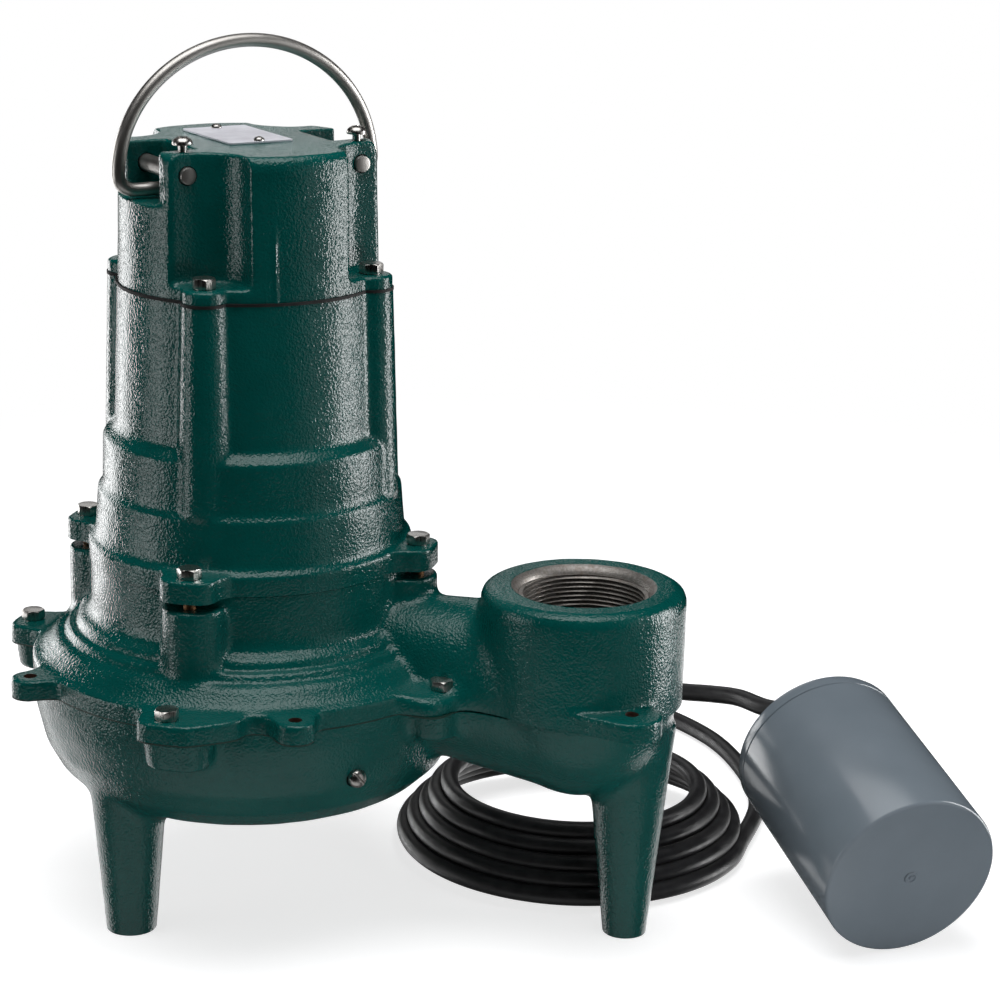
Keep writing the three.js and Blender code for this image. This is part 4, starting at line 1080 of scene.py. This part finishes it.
# ---------- float switch
def float_switch():
    """A turned plastic can: glued end cap with a lip at the cord, crisp blunt end with a mould nub."""
    r, end, hole = FLOAT_R, FLOAT_LENGTH, CORD_R + 0.1
    inner = r - 3.0
    can = [(0, end - 3), (inner, end - 3), (inner, 9.2), (r - 0.35, 9.2), (r, 9.6), (r, end - 1.6),
           (r - 0.35, end - 0.75), (r - 0.9, end - 0.25), (r - 1.8, end), (3.4, end), (3.1, end + 0.7),
           (2.3, end + 0.75), (1.9, end + 0.2), (1.3, end + 0.2), (0.9, end + 0.9), (0, end + 1.1)]
    lid = [(hole, 0), (r - 5, 0), (r - 2.6, 0.5), (r - 0.9, 1.8), (r, 4.0), (r, 8.5), (r - 0.4, 9.0),
           (inner - 0.3, 9.0), (inner - 0.3, 20), (hole, 20)]
    boot = [(hole, -22), (5.9, -22), (6.4, -21), (6.9, -14), (7.5, -8), (8.6, -2.4), (9.4, -0.2),
            (hole, -0.2)]
    for name, node, profile, material, slot in (
            ("float_can", "float_shell", can, FLOAT_PLASTIC, "grey_plastic"),
            ("float_lid", "float_end_cap", lid, FLOAT_PLASTIC, "grey_plastic"),
            ("float_boot", "float_cord_boot", boot, GASKET, "gasket_rubber")):
        obj = new_object(name, mesh_of([lathe(profile, 160)]))
        in_frame(finished(obj, material, 30), "float", node, FLOAT_FRAME)


# ---------- CAD nodes that stay
KEPT = (
    (LAMINATION, "stator_core rotor_core"),
    (COPPER, "winding_lower winding_upper"),
    (STEEL, "motor_shaft lower_bearing_outer_race lower_bearing_inner_race seal_spring impeller_screw "
            "float_ball"),
    (RAW_IRON, "upper_bearing_bracket seal_plate impeller"),
    (SEAL_FACE, "seal_seat seal_head"),
    (BRASS, "upper_bush plug_blade_left plug_blade_right plug_ground_pin"),
    (BLACK_PLASTIC, "run_capacitor overload_protector float_microswitch"),
    (FLOAT_PLASTIC, "float_ball_track"),
)


def dress_kept_nodes():
    for material, nodes in KEPT:
        for node in nodes.split():
            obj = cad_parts[node]
            obj.data.materials.clear()
            obj.data.materials.append(material)


# ---------- stage
CAMERA_AT = Vector((0.4240, -1.1988, 0.5611))         # from the motor shaft, in metres
CAMERA_LENS = 96.95
YAW, PITCH, ROLL = 0.244, 0.275, 0.018                # how the camera looks, in radians
AMBIENT = 0.16


def studio_floor():
    """A pale table: white with faint shadows to the lens, and a bouncing patch of light round the pump."""
    n = Nodes("studio_floor")
    lens = n.add("ShaderNodeLightPath").outputs["Is Camera Ray"]
    away = n.add("ShaderNodeVectorMath", {0: n.place}, operation="LENGTH").outputs["Value"]
    patch = n.mix(n.span(away, 0, 1, 330, 900), (0.74, 0.74, 0.74), (0.10, 0.10, 0.10))
    n.set(Base_Color=n.mix(lens, patch, (0.62, 0.62, 0.63)), Roughness=0.8, Specular_IOR_Level=0.1,
          Emission_Color=(1, 1, 1, 1), Emission_Strength=n.math("MULTIPLY", lens, 0.72))
    white = n.add("ShaderNodeEmission", {"Color": (1, 1, 1, 1), "Strength": lens})
    blend = n.add("ShaderNodeMixShader", {
        0: n.span(away, 0, 1, 550, 1000), 1: n.shader.outputs[0], 2: white.outputs[0]})
    n.link(blend.outputs[0], n.tree.nodes["Material Output"].inputs[0])
    return n.material


def lamp(name, azimuth, elevation, distance, width, height, radiance, lights, aim=(0, 0, 0.2)):
    """A softbox placed around the pump; azimuth is measured from the lens, to its right.

    Boxes that only show as reflections ("glossy") stand apart from those that only light ("diffuse").
    """
    data = bpy.data.lights.new(name, "AREA")
    data.shape, data.size, data.size_y = "RECTANGLE", width, height
    data.energy = math.pi * width * height * radiance
    obj = new_object(name, data)
    across = math.degrees(math.atan2(CAMERA_AT.y, CAMERA_AT.x)) + azimuth
    up = math.radians(elevation)
    target = AXIS + Vector(aim)
    obj.location = target + distance * polar(math.cos(up), across, math.sin(up))
    obj.rotation_euler = (target - obj.location).to_track_quat("-Z", "Y").to_euler()
    obj.visible_camera = False
    obj.visible_diffuse = lights == "diffuse"
    obj.visible_glossy = lights == "glossy"


def floor():
    obj = new_object("floor", mesh_of([block(-9000, 9000, -9000, 9000, -20, -0.2)]))
    obj.data.transform(Matrix.Scale(MM, 4))
    obj.data.materials.append(studio_floor())
    obj.visible_glossy = False


def surroundings():
    """White to the lens, a faint even light on the pump, and black in its reflections."""
    world = bpy.data.worlds.new("studio")
    bpy.context.scene.world = world
    world.use_nodes = True
    tree = world.node_tree
    path = tree.nodes.new("ShaderNodeLightPath").outputs
    ambient = tree.nodes.new("ShaderNodeMath")
    ambient.operation = "MULTIPLY_ADD"
    tree.links.new(path["Is Diffuse Ray"], ambient.inputs[0])
    ambient.inputs[1].default_value = AMBIENT
    tree.links.new(path["Is Camera Ray"], ambient.inputs[2])
    tree.nodes["Background"].inputs[0].default_value = (1, 1, 1, 1)
    tree.links.new(ambient.outputs[0], tree.nodes["Background"].inputs[1])


def lamps():
    lamp("key_strip", 92, 4, 1.25, 0.36, 1.08, 11.0, "glossy")
    lamp("key_edge", 60, 4, 1.25, 0.44, 1.08, 0.6, "glossy")
    lamp("left_window", -82, -3, 1.25, 0.44, 0.75, 3.0, "glossy")
    lamp("left_rear", -138, -3, 1.25, 0.6, 0.75, 5.0, "glossy")
    lamp("low_left", -128, -34, 0.9, 0.8, 0.5, 1.4, "glossy")
    lamp("low_right", 128, -34, 0.9, 0.8, 0.5, 1.4, "glossy")
    lamp("top_sheen", 0, 80, 1.2, 1.2, 0.9, 2.6, "glossy")
    lamp("back_sheen", 180, 20, 1.5, 0.7, 0.5, 0.9, "glossy")
    lamp("table_sheen", 0, -90, 0.22, 0.8, 0.8, 0.10, "glossy", aim=(0.05, 0, 0.2))
    lamp("low_sheen", -10, -42, 0.55, 1.1, 0.42, 0.42, "glossy", aim=(0.05, 0, 0.1))
    lamp("float_fill", 20, -8, 0.5, 0.3, 0.3, 8.5, "diffuse", aim=(0.34, -0.02, 0.05))
    lamp("top_light", 0, 86, 1.2, 1.2, 0.9, 5.0, "diffuse")
    lamp("left_light", -80, 8, 1.25, 0.7, 1.0, 0.8, "diffuse")
    lamp("right_light", 85, 8, 1.25, 0.7, 1.0, 0.9, "diffuse")


def camera():
    data = bpy.data.cameras.new("camera")
    data.sensor_width, data.lens = 36, CAMERA_LENS
    data.clip_start, data.clip_end = 0.05, 60
    obj = new_object("camera", data)
    rotation = Euler((math.pi / 2 - PITCH, 0, YAW)).to_matrix() @ Matrix.Rotation(ROLL, 3, "Z")
    obj.matrix_world = Matrix.Translation(AXIS + CAMERA_AT) @ rotation.to_4x4()
    bpy.context.scene.camera = obj
    bpy.context.scene.view_settings.view_transform = "Standard"


upper_casing()
port_thread()
lower_casing()
drain_plug()
casing_gasket()
motor_housing()
cap_gasket()
motor_cap()
bail()
handle_pins()
pan_screws()
nameplate()
bolts()
power_cord()
float_cord()
glands()
power_plug()
float_switch()
dress_kept_nodes()
floor()
surroundings()
lamps()
camera()
